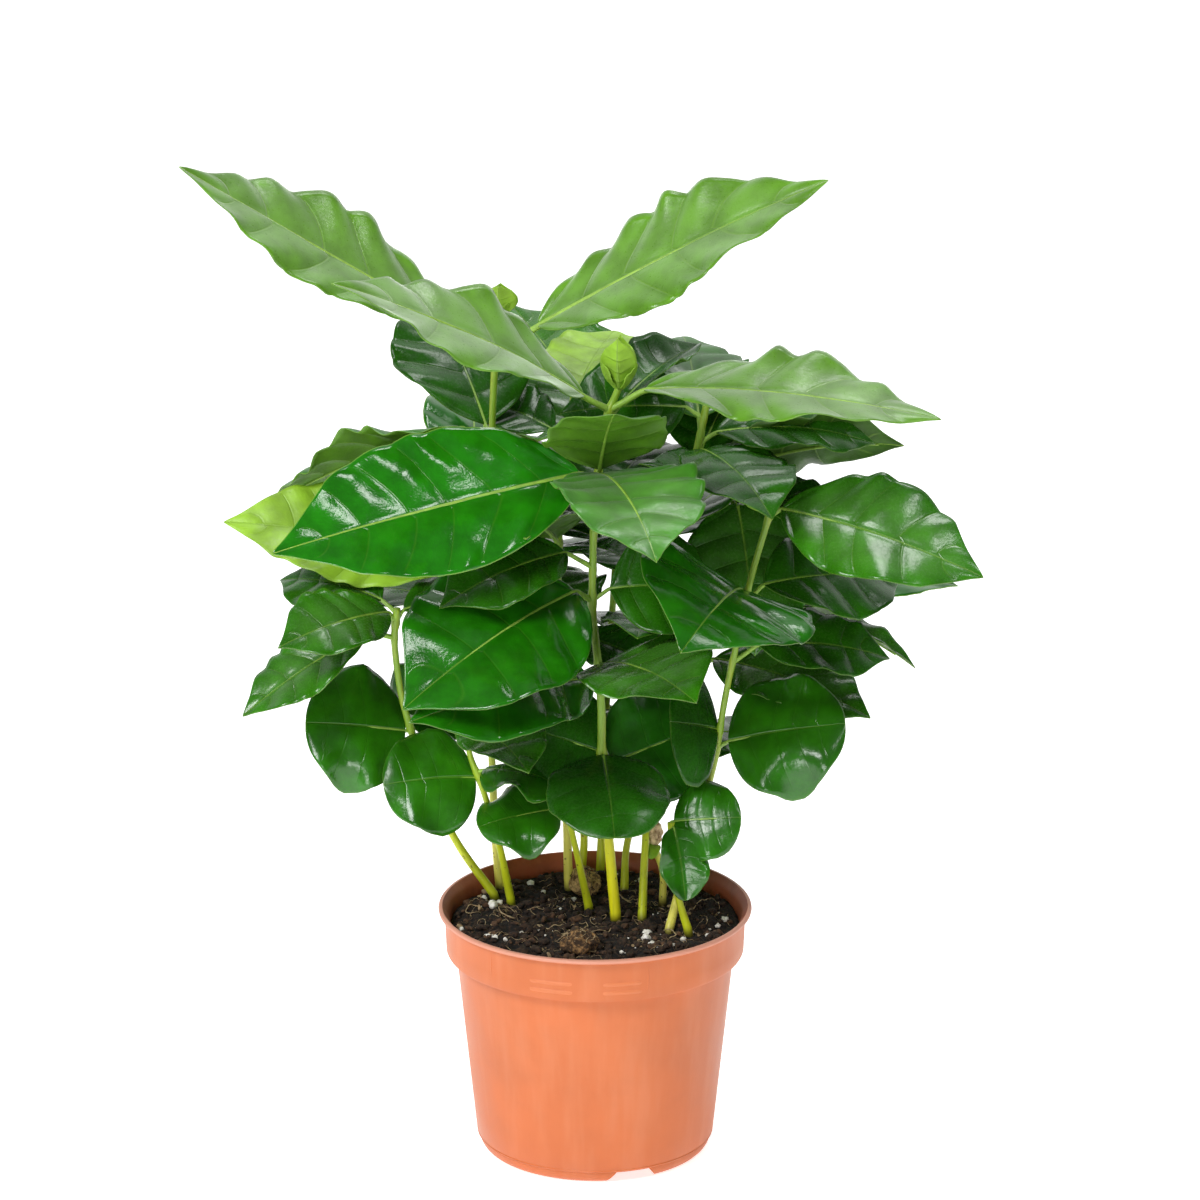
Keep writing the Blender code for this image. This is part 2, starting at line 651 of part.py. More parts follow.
def make_soil(material):
    floor = FLOOR_RISE + WALL + GAP
    step = BAND_BOTTOM - STEP_DEPTH
    inside = WALL + 2 * GAP
    profile = [
        (0, floor), (wall_radius(floor) - inside - 4, floor), (wall_radius(floor) - inside - 1, floor + 2),
        (wall_radius(step) - inside, step), (BAND_RADIUS - inside - 0.4, BAND_BOTTOM + 1.5),
        (BAND_RADIUS - inside - 0.2, SOIL_TOP), (0, SOIL_TOP),
    ]
    pieces = [lathe("bed", profile, SOIL_SIDES, material)]
    draw = random.Random(CLOD_SEED + 1)
    for (x, y), size in clods():
        pieces.append(lump((x, y, SOIL_TOP + size[2] * CLOD_LIFT), size, draw.uniform(0, math.pi), material))
    join("soil", pieces, "MANIFOLD")


def make_sprout(stem_material, husk_material):
    sprout = dict(way=SPROUT_WAY, thick=SPROUT_THICK)
    solid = stem_stretch(sprout, share_at_height(SPROUT_WAY, SOIL_TOP + GAP), 1, 3, level_start=True)
    new_object("stem_sprout", *solid, stem_material)
    tip = SPROUT_WAY[-1]
    husk = lump((tip[0], tip[1], tip[2] + HUSK_SIZE[2] / 2 + GAP + 0.2), HUSK_SIZE, 0.4, husk_material)
    husk.name = "husk"


def main():
    clear_scene()
    make_pot(new_material("pot", POT_COLOUR, 0.35))
    make_soil(new_material("soil", SOIL_COLOUR, 0.95))
    stems = new_material("stem", STEM_COLOUR, 0.5)
    make_sprout(stems, new_material("husk", HUSK_COLOUR, 0.8))
    grow(stems, new_material("leaf", LEAF_COLOUR, 0.25))


main()
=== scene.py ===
"""The looks of a potted coffee plant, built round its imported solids.

The seedlings grow here by the same rule as in the part's source, and each blade then gets its waves, veins
and midrib. Sizes are in millimetres and degrees, and MM turns them into metres. The camera, the lights and
the shaders are in metres. An azimuth of 0 points along +X, and 90 along +Y.
"""

import itertools
import math
import random

import bmesh
import bpy
import numpy as np
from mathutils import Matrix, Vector, noise
from mathutils.bvhtree import BVHTree


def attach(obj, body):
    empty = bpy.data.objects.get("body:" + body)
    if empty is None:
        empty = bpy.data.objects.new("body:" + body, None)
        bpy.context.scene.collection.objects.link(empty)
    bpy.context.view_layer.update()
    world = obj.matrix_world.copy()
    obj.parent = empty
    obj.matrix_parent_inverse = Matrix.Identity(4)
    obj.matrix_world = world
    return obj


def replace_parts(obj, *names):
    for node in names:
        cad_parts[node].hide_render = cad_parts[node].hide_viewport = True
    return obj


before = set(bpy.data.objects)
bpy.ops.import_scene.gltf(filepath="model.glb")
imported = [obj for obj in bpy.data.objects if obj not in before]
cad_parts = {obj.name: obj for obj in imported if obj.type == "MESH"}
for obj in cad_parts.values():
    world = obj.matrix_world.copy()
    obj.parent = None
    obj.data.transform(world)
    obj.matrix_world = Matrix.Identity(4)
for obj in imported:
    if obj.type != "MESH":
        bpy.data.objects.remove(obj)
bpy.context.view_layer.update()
MM = 0.001

# ---- The camera: the pot seen from 2.4 m away, from a little above.
CAMERA_PLACE = (0.0019, -2.2440, 0.9486)
CAMERA_PITCH = 18
CAMERA_LENS = 187.8

# ---- Construction, as in the part's source.
GAP = 0.3

# The pot: a thin moulded wall that widens upwards, a deep band round its top, and a rolled lip.
POT_HEIGHT = 97
FOOT_RADIUS = 45
WALL_FLARE = 0.105
WALL = 1.6
BAND_BOTTOM = 79
BAND_RADIUS = 57
LIP_RADIUS = 60
LIP_DEPTH = 1.8
FOOT_CORNER = 4
FLOOR_RISE = 3.5
HUB_RADIUS = 9
FOOT_RING = 5
STEP_DEPTH = 1.5
NOTCHES = 3
NOTCH_BEARING = 289
NOTCH_WIDTH = (20, 13)
NOTCH_HEIGHT = 4.5
DRAIN_HOLES = 6
DRAIN_RADIUS = 3.5
DRAIN_CIRCLE = 24

# The soil fills the pot to just under its lip, and clods stand out of it.
SOIL_TOP = 90
CLODS = 13
CLOD_SEED = 5
LARGE_CLODS = [((-6, -30), (13, 12, 10)), ((-4, 33), (11, 10, 12))]
CLOD_WIDTH = (4, 8)
CLOD_SHAPE = ((0.7, 1), (0.5, 0.8))
CLOD_LIFT = 0.1
STEM_CLEARANCE = 4

# The blade's outline: how it swells from its foot and closes to its tip, how wide it is at most before
# scaling, and how its drip tip narrows. A round blade is a little wider near its foot.
SWELL = 0.72
CLOSE = 0.82
WIDEST = 0.342
DRIP_START = 0.78
DRIP_RUN = 0.18
DRIP_NARROWING = 0.45
ROUND_FOOT = 1.08
ROUND_TAPER = 0.16

# The blade's wavy margin, and where its stalk ends inside it.
WAVE_LENGTH = 22
WAVE_HEIGHT = 0.013
WAVE_OFFSET = 0.9
STALK_REACH = 0.07

# Leaf and stem solids. A blade of at least the first length takes the number of steps beside it.
LEAF_THICKNESS = 0.011
THINNEST_LEAF = 0.8
BLUNT_TIP = 0.9
BLADE_STEPS = [(100, 9), (60, 6), (25, 5), (0, 3)]
STEM_SIDES = 6
UPRIGHT_SHARE = 0.7
STALK_SIDES = 4
STALK_RADII = (1.15, 0.95, 0.3)
STEM_CUT_BELOW_LEAVES = 5
BUD_SIDES = 6
BUD_SHAPE = [(-0.12, 0.35), (0.35, 1), (0.7, 0.75), (1, 0.15)]

# A leaf that would touch a neighbour is tried at these sizes and turns, in this order.
TRIED_SCALES = (1, 0.8, 0.65)
TRIED_TURNS = (0, 6, -6, 12, -12, 22, -22, 36, -36, 54, -54)
TRIED_TILTS = (0, 6, -6, 13, -13)


def leaf(height, azimuth, rise, length, width, roll=0, droop=8, fold=8, stalk=8, lift=35, kind="blade"):
    """One leaf: where its stalk leaves the stem, and how its blade lies.

    rise is the slope from the blade's foot to its tip, roll turns the blade about that line,
    droop is the height of its arch in hundredths of the length, fold is the slope of its two halves,
    and lift is the slope of the stalk.
    """
    return dict(height=height, azimuth=azimuth, rise=rise, length=length, width=width, roll=roll,
                droop=droop, fold=fold, stalk=stalk, lift=lift, kind=kind)


def pairs(first_height, step, azimuth, sizes, seed):
    """Opposite pairs of leaves up a stem, each pair a quarter turn on from the last."""
    draw = random.Random(seed)
    leaves = []
    for rank, (length, width, rise) in enumerate(sizes):
        for side in (0, 180):
            leaves.append(leaf(
                height=first_height + rank * step + draw.uniform(-2, 2),
                azimuth=azimuth + 90 * rank + side + draw.uniform(-14, 14),
                rise=rise + draw.uniform(-9, 9),
                length=length * draw.uniform(0.9, 1.08),
                width=width * draw.uniform(0.9, 1.08),
                roll=draw.uniform(-22, 22),
                droop=draw.uniform(4, 11),
                kind="round" if rank == 0 else "blade",
            ))
    return leaves


# Each seedling: the way of its stem from the soil to its tip, its foot and tip thickness, its leaves,
# and its bud: length and radius, if it has one. The lowest pair is round, and each seedling leans out
# to its own light.
SEEDLINGS = {
    "centre": dict(
        way=[(8, 0, SOIL_TOP), (3, 0, 151), (2, 0, 186), (-1, 1, 219), (1, 2, 267), (4, 3, 288), (9, 4, 302)],
        thick=(4.3, 2.7),
        bud=(20, 5),
        leaves=[
            leaf(265, 202, -8, 124, 57, roll=-45, droop=3, fold=10),
            leaf(267, 286, -10, 74, 56, droop=10, fold=10, stalk=6),
            leaf(269, 278, 40, 50, 46, droop=6, fold=12, stalk=5),
            leaf(293, 201, 28, 112, 46, roll=-24, droop=4, stalk=12),
            leaf(293, 346, -2, 113, 46, roll=10, droop=4, stalk=16),
            leaf(288, 55, 12, 60, 28, droop=6, fold=30, stalk=6),
            leaf(232, 210, -14, 56, 36, roll=-25, stalk=14),
            leaf(219, 222, -18, 90, 66, roll=-30, stalk=10),
            leaf(219, 8, -4, 42, 46, roll=45),
            leaf(246, 75, 4, 66, 46),
            leaf(193, 302, 2, 64, 52, roll=12, stalk=5),
            leaf(186, 222, 2, 90, 44, roll=-38, droop=6, stalk=6),
            leaf(156, 276, -26, 44, 47, droop=4, stalk=6, kind="round"),
            leaf(151, 24, 10, 42, 46, roll=50, droop=4, stalk=5, kind="round"),
            leaf(158, 166, 14, 24, 42, roll=-50, droop=4, fold=6, stalk=2, kind="round"),
        ],
    ),
    "tall": dict(
        way=[(-37, 34, SOIL_TOP), (-39, 35, 120), (-40, 37, 160), (-39, 36, 208), (-39, 35, 278),
             (-36, 35, 322)],
        thick=(3.8, 2.7),
        bud=(12, 5),
        leaves=[
            leaf(307, 193, 33, 127, 45, roll=-32, droop=0, stalk=16),
            leaf(307, 350, 29, 126, 48, roll=34, droop=2, stalk=19),
            leaf(272, 112, 28, 68, 54, droop=6),
            leaf(268, 160, -26, 90, 42, roll=30, droop=4, stalk=14),
            leaf(218, 178, 8, 94, 45, roll=-38, droop=4, stalk=12),
            leaf(262, 300, 10, 50, 30, droop=6),
            leaf(236, 70, 2, 84, 44, roll=12),
            leaf(196, 118, -6, 78, 46, roll=-8),
            leaf(152, 150, 4, 42, 44, droop=4, stalk=6, kind="round"),
            leaf(152, 20, 6, 40, 42, droop=4, stalk=6, kind="round"),
        ],
    ),
    "left": dict(
        way=[(-38, 24, SOIL_TOP), (-57, 26, 120), (-72, 18, 167), (-76, 14, 196), (-75, 13, 212)],
        thick=(3.8, 2.5),
        leaves=[
            leaf(161, 190, 8, 39, 50, roll=-55, droop=4, fold=6, stalk=2, lift=0, kind="round"),
            leaf(163, 60, 10, 40, 42, droop=4, fold=6, stalk=5, kind="round"),
            leaf(200, 198, -31, 57, 29, roll=-25, droop=4, stalk=12, lift=20),
            leaf(206, 215, -6, 50, 32, roll=-30, stalk=6, lift=60),
            leaf(206, 20, 0, 40, 26, roll=20, stalk=6, lift=60),
            leaf(210, 150, 0, 46, 36, roll=-20),
        ],
    ),
    "saddle": dict(
        way=[(-32, 17, SOIL_TOP), (-37, 11, 118), (-43, 5, 143), (-48, 3, 159), (-47, 2, 177)],
        thick=(3.6, 2.2),
        leaves=[
            leaf(146, 194, 0, 36, 43, roll=-50, fold=6, stalk=2, kind="round"),
            leaf(149, 330, 6, 34, 34, fold=6, stalk=4, kind="round"),
            leaf(166, 300, -8, 42, 34, stalk=6),
        ],
    ),
    "right": dict(
        way=[(28, -12, SOIL_TOP), (33, -2, 107), (45, 7, 150), (49, 7, 175), (53, 8, 196), (58, 9, 221),
             (67, 13, 254)],
        thick=(3.7, 2.4),
        leaves=[
            leaf(219, 250, -2, 72, 70, roll=-25, droop=14, stalk=5),
            leaf(249, 337, -12, 83, 46, roll=38, droop=6, stalk=6),
            leaf(158, 350, 12, 46, 50, roll=50, droop=4, fold=6, stalk=5, kind="round"),
            leaf(165, 198, 14, 20, 48, roll=-50, droop=4, fold=6, stalk=1, kind="round"),
            leaf(216, 30, -8, 62, 44, roll=35, stalk=10),
            leaf(192, 10, -10, 52, 32, roll=30, stalk=12),
            leaf(249, 150, 22, 46, 36),
        ],
    ),
    "second": dict(
        way=[(18, 2, SOIL_TOP), (19, 12, 112), (21, 27, 150), (24, 30, 214), (37, 30, 262), (42, 30, 287)],
        thick=(3.6, 2.7),
        leaves=[
            leaf(268, 293, -28, 54, 44, stalk=6),
            leaf(272, 8, -7, 62, 34, roll=20),
            leaf(252, 12, 6, 78, 42, roll=-52, stalk=10),
            leaf(276, 95, 14, 62, 42),
            leaf(282, 178, -4, 48, 38, roll=-50),
            leaf(232, 60, 0, 80, 46, roll=-10),
            leaf(214, 130, 0, 60, 44),
            leaf(198, 250, 4, 52, 42),
            leaf(198, 70, -4, 64, 44),
            leaf(260, 100, 20, 50, 44),
        ],
    ),
    "short": dict(
        way=[(-2, 10, SOIL_TOP), (-8, 2, 122), (-12, -2, 143)],
        thick=(3.6, 2.4),
        leaves=[
            leaf(134, 162, -8, 32, 34, roll=-24, droop=4, fold=6, stalk=5, kind="round"),
            leaf(137, 60, -8, 30, 32, roll=20, droop=4, fold=6, stalk=5, kind="round"),
        ],
    ),
    "folded": dict(
        way=[(36, -14, SOIL_TOP), (30, -12, 112), (29, -10, 134)],
        thick=(3.6, 2.4),
        leaves=[
            leaf(131, 292, -66, 28, 20, droop=4, fold=40, stalk=3, kind="round"),
            leaf(136, 352, 6, 26, 32, roll=55, droop=4, fold=6, stalk=1, kind="round"),
        ],
    ),
    "inner": dict(
        way=[(-10, 35, SOIL_TOP), (-12, 36, 150), (-14, 40, 230), (-8, 46, 286)],
        thick=(3.8, 2.8),
        leaves=[
            leaf(282, 75, 9, 56, 40, droop=4),
            leaf(268, 200, 8, 44, 30, roll=-20, droop=6),
            leaf(272, 25, 2, 66, 40, droop=6),
        ] + pairs(156, 36, 70, [(40, 40, 5), (66, 40, -2), (80, 46, 0)], seed=3),
    ),
    "rear": dict(
        way=[(2, 47, SOIL_TOP), (4, 60, 150), (8, 72, 216), (10, 76, 262)],
        thick=(3.6, 2.8),
        bud=(14, 3.5),
        leaves=[
            leaf(222, 276, -45, 60, 44),
            leaf(168, 272, -32, 44, 42, kind="round"),
        ] + pairs(148, 34, 20, [(40, 42, 4), (72, 42, -6), (88, 50, 2), (94, 50, 12)], seed=8),
    ),
    "rear_left": dict(
        way=[(-5, 49, SOIL_TOP), (-6, 56, 114), (-26, 66, 156), (-42, 72, 196), (-50, 76, 240)],
        thick=(3.4, 2.6),
        leaves=[leaf(160, 280, -32, 44, 42, kind="round")]
        + pairs(142, 31, 160, [(38, 40, 2), (68, 42, -8), (82, 48, 4), (72, 42, 16)], seed=12),
    ),
    "rear_right": dict(
        way=[(11, 29, SOIL_TOP), (14, 38, 114), (32, 48, 152), (47, 56, 200), (54, 60, 240)],
        thick=(3.4, 2.6),
        leaves=[leaf(198, 356, -21, 76, 24, fold=32, stalk=8), leaf(237, 280, -48, 62, 50)]
        + pairs(144, 31, 20, [(38, 40, 2), (70, 42, -8), (84, 48, 2), (70, 42, 14)], seed=21),
    ),
}

# A seed that has only just lifted its head, still in its papery husk.
SPROUT_WAY = [(26, 20, SOIL_TOP), (26, 20, 103), (22.5, 20, 113)]
SPROUT_THICK = (3.4, 2.6)
HUSK_SIZE = (6.5, 6.5, 10.5)


def linked(name, data):
    """A new object with this data, in the scene."""
    obj = bpy.data.objects.new(name, data)
    bpy.context.scene.collection.objects.link(obj)
    return obj


def mesh_of(name, points, faces, materials):
    """A mesh from points in millimetres."""
    mesh = bpy.data.meshes.new(name)
    mesh.from_pydata([tuple(point) for point in np.asarray(points, float) * MM], [], faces)
    for material in materials:
        mesh.materials.append(material)
    return mesh


def new_object(name, points, faces, material):
    """A closed mesh from points in millimetres, with its faces turned out."""
    mesh = mesh_of(name, points, faces, [material])
    shape = bmesh.new()
    shape.from_mesh(mesh)
    bmesh.ops.recalc_face_normals(shape, faces=shape.faces[:])
    shape.to_mesh(mesh)
    shape.free()
    return linked(name, mesh)


def heading(azimuth, rise):
    """The unit direction at an azimuth and a slope."""
    turn, slope = math.radians(azimuth), math.radians(rise)
    return np.array([math.cos(turn) * math.cos(slope), math.sin(turn) * math.cos(slope), math.sin(slope)])


def around(radius, turn, height=0):
    """The point at a radius, an angle about Z and a height."""
    return np.array([radius * math.cos(turn), radius * math.sin(turn), height])


def ring_faces(rings, sides, first=0):
    """Faces that join rings of corners, each ring to the next."""
    faces = []
    for side in range(sides):
        after = (side + 1) % sides
        for ring in range(rings - 1):
            low, high = first + ring * sides, first + (ring + 1) * sides
            faces.append((low + side, low + after, high + after, high + side))
    return faces


def cross_frame(along, roll=0):
    """The side and the face direction of something that runs along a direction, rolled about it."""
    side = np.cross((0, 0, 1), along)
    if np.linalg.norm(side) < 1e-6:
        side = np.array([1.0, 0, 0])
    side = side / np.linalg.norm(side)
    face = np.cross(along, side)
    turn = math.radians(roll)
    return side * math.cos(turn) + face * math.sin(turn), face * math.cos(turn) - side * math.sin(turn)


def leaf_frame(spec):
    """A blade's directions: from foot to tip, across it, and out of its upper face."""
    along = heading(spec["azimuth"], spec["rise"])
    return along, *cross_frame(along, spec["roll"])


def way_point(way, share):
    """The point at a share of a smooth curve through the way's points."""
    points = np.asarray(way, float)
    spans = len(points) - 1
    place = min(max(share, 0), 1) * spans
    span = min(int(place), spans - 1)
    part = place - span
    start, end = points[span], points[span + 1]
    before = points[span - 1] if span else 2 * start - end
    after = points[span + 2] if span + 2 <= spans else 2 * end - start
    return 0.5 * (2 * start + (end - before) * part + (2 * before - 5 * start + 4 * end - after) * part ** 2
                  + (3 * start - before - 3 * end + after) * part ** 3)


def share_at_height(way, height):
    """The share of the way at which it reaches a height."""
    low, high = 0.0, 1.0
    for _ in range(40):
        middle = (low + high) / 2
        if way_point(way, middle)[2] < height:
            low = middle
        else:
            high = middle
    return (low + high) / 2


def tube(points, radii, sides, level_start=False):
    """Points and faces of a closed, tapering tube."""
    centres = [np.asarray(point, float) for point in points]
    run = centres[-1] - centres[0]
    upright = abs(run[2]) > UPRIGHT_SHARE * np.linalg.norm(run)
    corners = []
    for index, (centre, radius) in enumerate(zip(centres, radii)):
        along = centres[min(index + 1, len(centres) - 1)] - centres[max(index - 1, 0)]
        if level_start and index == 0:
            along = np.array([0, 0, 1.0])
        along = along / np.linalg.norm(along)
        side, face = cross_frame(along)
        if upright:
            side = np.array([1.0, 0, 0]) - along * along[0]
            side /= np.linalg.norm(side)
            face = np.cross(along, side)
        for corner in range(sides):
            turn = 2 * math.pi * corner / sides
            corners.append(centre + radius * (side * math.cos(turn) + face * math.sin(turn)))
    faces = ring_faces(len(centres), sides)
    faces.append(tuple(range(sides))[::-1])
    faces.append(tuple(range(len(corners) - sides, len(corners))))
    return corners, faces


def stem_stretch(seedling, low, high, step, level_start=False):
    """The stretch of a stem between two shares of its way."""
    steps = max(2, round((high - low) * (len(seedling["way"]) - 1) * step))
    shares = np.linspace(low, high, steps + 1)
    foot, tip = seedling["thick"]
    radii = [(foot + (tip - foot) * share) / 2 for share in shares]
    return tube([way_point(seedling["way"], share) for share in shares], radii, STEM_SIDES, level_start)


def half_width(share, kind):
    """The blade's half width at a share of its length, as a share of its widest."""
    if kind == "round":
        return math.sqrt(max(0.0, 1 - (2 * share - 1) ** 2)) * (ROUND_FOOT - ROUND_TAPER * share)
    drip = min(1.0, max(0.0, (share - DRIP_START) / DRIP_RUN))
    return share ** SWELL * (1 - share) ** CLOSE / WIDEST * (1 - DRIP_NARROWING * drip)


def blade_point(foot, spec, share, across):
    """A point of the blade's middle surface: share runs from foot to tip, across from -1 to 1."""
    along, side, face = leaf_frame(spec)
    half = half_width(share, spec["kind"]) * spec["width"] / 2
    arch = spec["length"] * spec["droop"] / 100 * 4 * share * (1 - share)
    phase = 2 * math.pi * spec["length"] / WAVE_LENGTH * share + (WAVE_OFFSET if across > 0 else 0)
    ripple = WAVE_HEIGHT * spec["length"] * math.sin(phase) * across ** 2 * math.sin(math.pi * share)
    rise = arch + math.tan(math.radians(spec["fold"])) * abs(across) * half + ripple
    return foot + along * spec["length"] * share + side * half * across + face * rise


def blade(foot, spec):
    """Points and faces of a closed thin blade, with its midrib as a fold."""
    steps = next(count for length, count in BLADE_STEPS if spec["length"] > length)
    half_thick = max(THINNEST_LEAF, LEAF_THICKNESS * spec["length"]) / 2
    _, side, face = leaf_frame(spec)
    corners, faces = [], []
    for step in range(steps + 1):
        share = (1 - math.cos(math.pi * step / steps)) / 2 if spec["kind"] == "round" else step / steps
        short_of_blunt = max(0, BLUNT_TIP - half_width(share, spec["kind"]) * spec["width"] / 2)
        for up in (1, -1):
            for across in (-1, 0, 1):
                point = blade_point(foot, spec, share, across) + side * across * short_of_blunt
                corners.append(point + face * half_thick * up)
    for step in range(steps):
        row = 6 * step
        ring = [row, row + 1, row + 2, row + 5, row + 4, row + 3]
        for index, corner in enumerate(ring):
            after = ring[(index + 1) % 6]
            faces.append((corner, after, after + 6, corner + 6))
    faces.append((0, 3, 4, 1))
    faces.append((1, 4, 5, 2))
    last = 6 * steps
    faces.append((last, last + 1, last + 4, last + 3))
    faces.append((last + 1, last + 2, last + 5, last + 4))
    return corners, faces


def stalk(node, foot, spec):
    """Points and faces of a leaf stalk, from inside the stem to well inside the blade."""
    return tube([node, foot, blade_point(foot, spec, STALK_REACH, 0)], STALK_RADII, STALK_SIDES)


def tree_of(solid):
    """A tree of a solid's faces, to test it against others."""
    corners, faces = solid
    return BVHTree.FromPolygons([tuple(corner) for corner in corners], faces)


def leaf_place(seedling, spec):
    """Where a leaf's stalk leaves the stem, and where its blade starts."""
    node = way_point(seedling["way"], share_at_height(seedling["way"], spec["height"]))
    return node, node + heading(spec["azimuth"], spec["lift"]) * spec["stalk"]


def placed_leaf(seedling, spec, keep_clear):
    """The leaf as it is placed and the trees of its solids, turned off a neighbour, or None."""
    for scale, turn, tilt in itertools.product(TRIED_SCALES, TRIED_TURNS, TRIED_TILTS):
        tried = dict(spec, azimuth=spec["azimuth"] + turn, rise=spec["rise"] + tilt,
                     length=spec["length"] * scale, width=spec["width"] * scale)
        node, foot = leaf_place(seedling, tried)
        solids = [blade(foot, tried), stalk(node, foot, tried)]
        trees = [tree_of(solid) for solid in solids]
        if not any(tree.overlap(other) for tree in trees for other in keep_clear):
            return tried, trees
    return None


def bud(seedling):
    """Young leaves still pressed together: a spindle on the tip of the stem."""
    top = np.asarray(seedling["way"][-1], float)
    length, radius = seedling["bud"]
    rings = [top + (0, 0, up * length) for up, _ in BUD_SHAPE]
    return tube(rings, [wide * radius for _, wide in BUD_SHAPE], BUD_SIDES)


def wall_radius(height):
    """The pot's outer radius at a height under the band."""
    return FOOT_RADIUS + WALL_FLARE * height


def lathe(name, profile, sides, material):
    """A solid turned about Z from a profile that starts and ends on the axis."""
    corners = [(0, 0, profile[0][1]), (0, 0, profile[-1][1])]
    rings = profile[1:-1]
    for radius, height in rings:
        corners += [around(radius, 2 * math.pi * side / sides, height) for side in range(sides)]
    faces = ring_faces(len(rings), sides, first=2)
    last = len(corners) - sides
    for side in range(sides):
        after = (side + 1) % sides
        faces.append((0, 2 + after, 2 + side))
        faces.append((1, last + side, last + after))
    return new_object(name, corners, faces, material)


def cut(obj, cutters):
    """The object with every cutter taken out of it, applied."""
    material = obj.data.materials[0]
    for cutter in cutters:
        difference = obj.modifiers.new("Cut", "BOOLEAN")
        difference.object = cutter
        difference.operation = "DIFFERENCE"
        difference.solver = "EXACT"
    graph = bpy.context.evaluated_depsgraph_get()
    whole = bpy.data.meshes.new_from_object(obj.evaluated_get(graph))
    obj.modifiers.clear()
    obj.data = whole
    whole.materials.clear()
    whole.materials.append(material)
    for cutter in cutters:
        bpy.data.objects.remove(cutter)


def notch_cutter(bearing, material):
    """A wedge across the foot ring, wider at the ground."""
    out = around(1, math.radians(bearing))
    side = np.array([-out[1], out[0], 0])
    corners = []
    for reach in (FOOT_RADIUS - 14, FOOT_RADIUS + 6):
        for half, height in ((NOTCH_WIDTH[0] / 2 + 0.8, -1), (NOTCH_WIDTH[1] / 2, NOTCH_HEIGHT)):
            middle = out * reach + (0, 0, height)
            corners += [middle - side * half, middle + side * half]
    faces = [(0, 1, 3, 2), (4, 6, 7, 5), (0, 4, 5, 1), (2, 3, 7, 6), (0, 2, 6, 4), (1, 5, 7, 3)]
    return new_object("notch", corners, faces, material)


def stem_feet():
    """Where each stem stands in the soil."""
    ways = [seedling["way"] for seedling in SEEDLINGS.values()] + [SPROUT_WAY]
    return [np.array(way[0][:2]) for way in ways]


def clods():
    """Places and sizes of the clods: the large ones listed, the rest strewn clear of the stems."""
    chosen = list(LARGE_CLODS)
    draw = random.Random(CLOD_SEED)
    reach = BAND_RADIUS - WALL - 8
    while len(chosen) < CLODS:
        place = around(reach * math.sqrt(draw.random()), draw.uniform(0, 2 * math.pi))[:2]
        wide = draw.uniform(*CLOD_WIDTH)
        if min(np.linalg.norm(place - foot) for foot in stem_feet()) < wide / 2 + STEM_CLEARANCE:
            continue
        if min(np.linalg.norm(place - other) - size[0] / 2 for other, size in chosen) < wide / 2 - 1:
            continue
        chosen.append((tuple(place), (wide, *[wide * draw.uniform(*span) for span in CLOD_SHAPE])))
    return chosen


# ---- Looks.
UNDERSIDE = (0.05, 0.13, 0.008)
ROUND_UNDERSIDE = (0.045, 0.12, 0.01)

# How much a leaf's margin waves and is lobed; how much its face quilts, crinkles, sways, buckles and cups;
# how many millimetres its side veins are apart; how far its midrib, side veins and margin pale; how deep its
# veins are and how dark the painted shade in their creases is; how strongly a painted grey sheen covers its
# middle; how silvery it looks from the side; and how strongly it reflects.
PLAIN_LOOK = dict(wave=1.0, lobes=0.6, quilt=1.0, crinkle=1.0, sway=0.035, buckle=0.025, cup=0.0, spacing=13,
                  rib=0.4, line=0.12, margin=0.15, relief=1.0, bloom=0.0, sheen=0.0, specular=0.5)
ROUND_LOOK = dict(PLAIN_LOOK, lobes=0.35, quilt=0.2, spacing=12, line=0.03, relief=0.35)


def look(top, under, roughness, base=PLAIN_LOOK, **facts):
    """How a leaf looks: its two colours, its roughness, and what it has otherwise than the base look."""
    return dict(base, top=top, under=under, roughness=roughness, **facts)


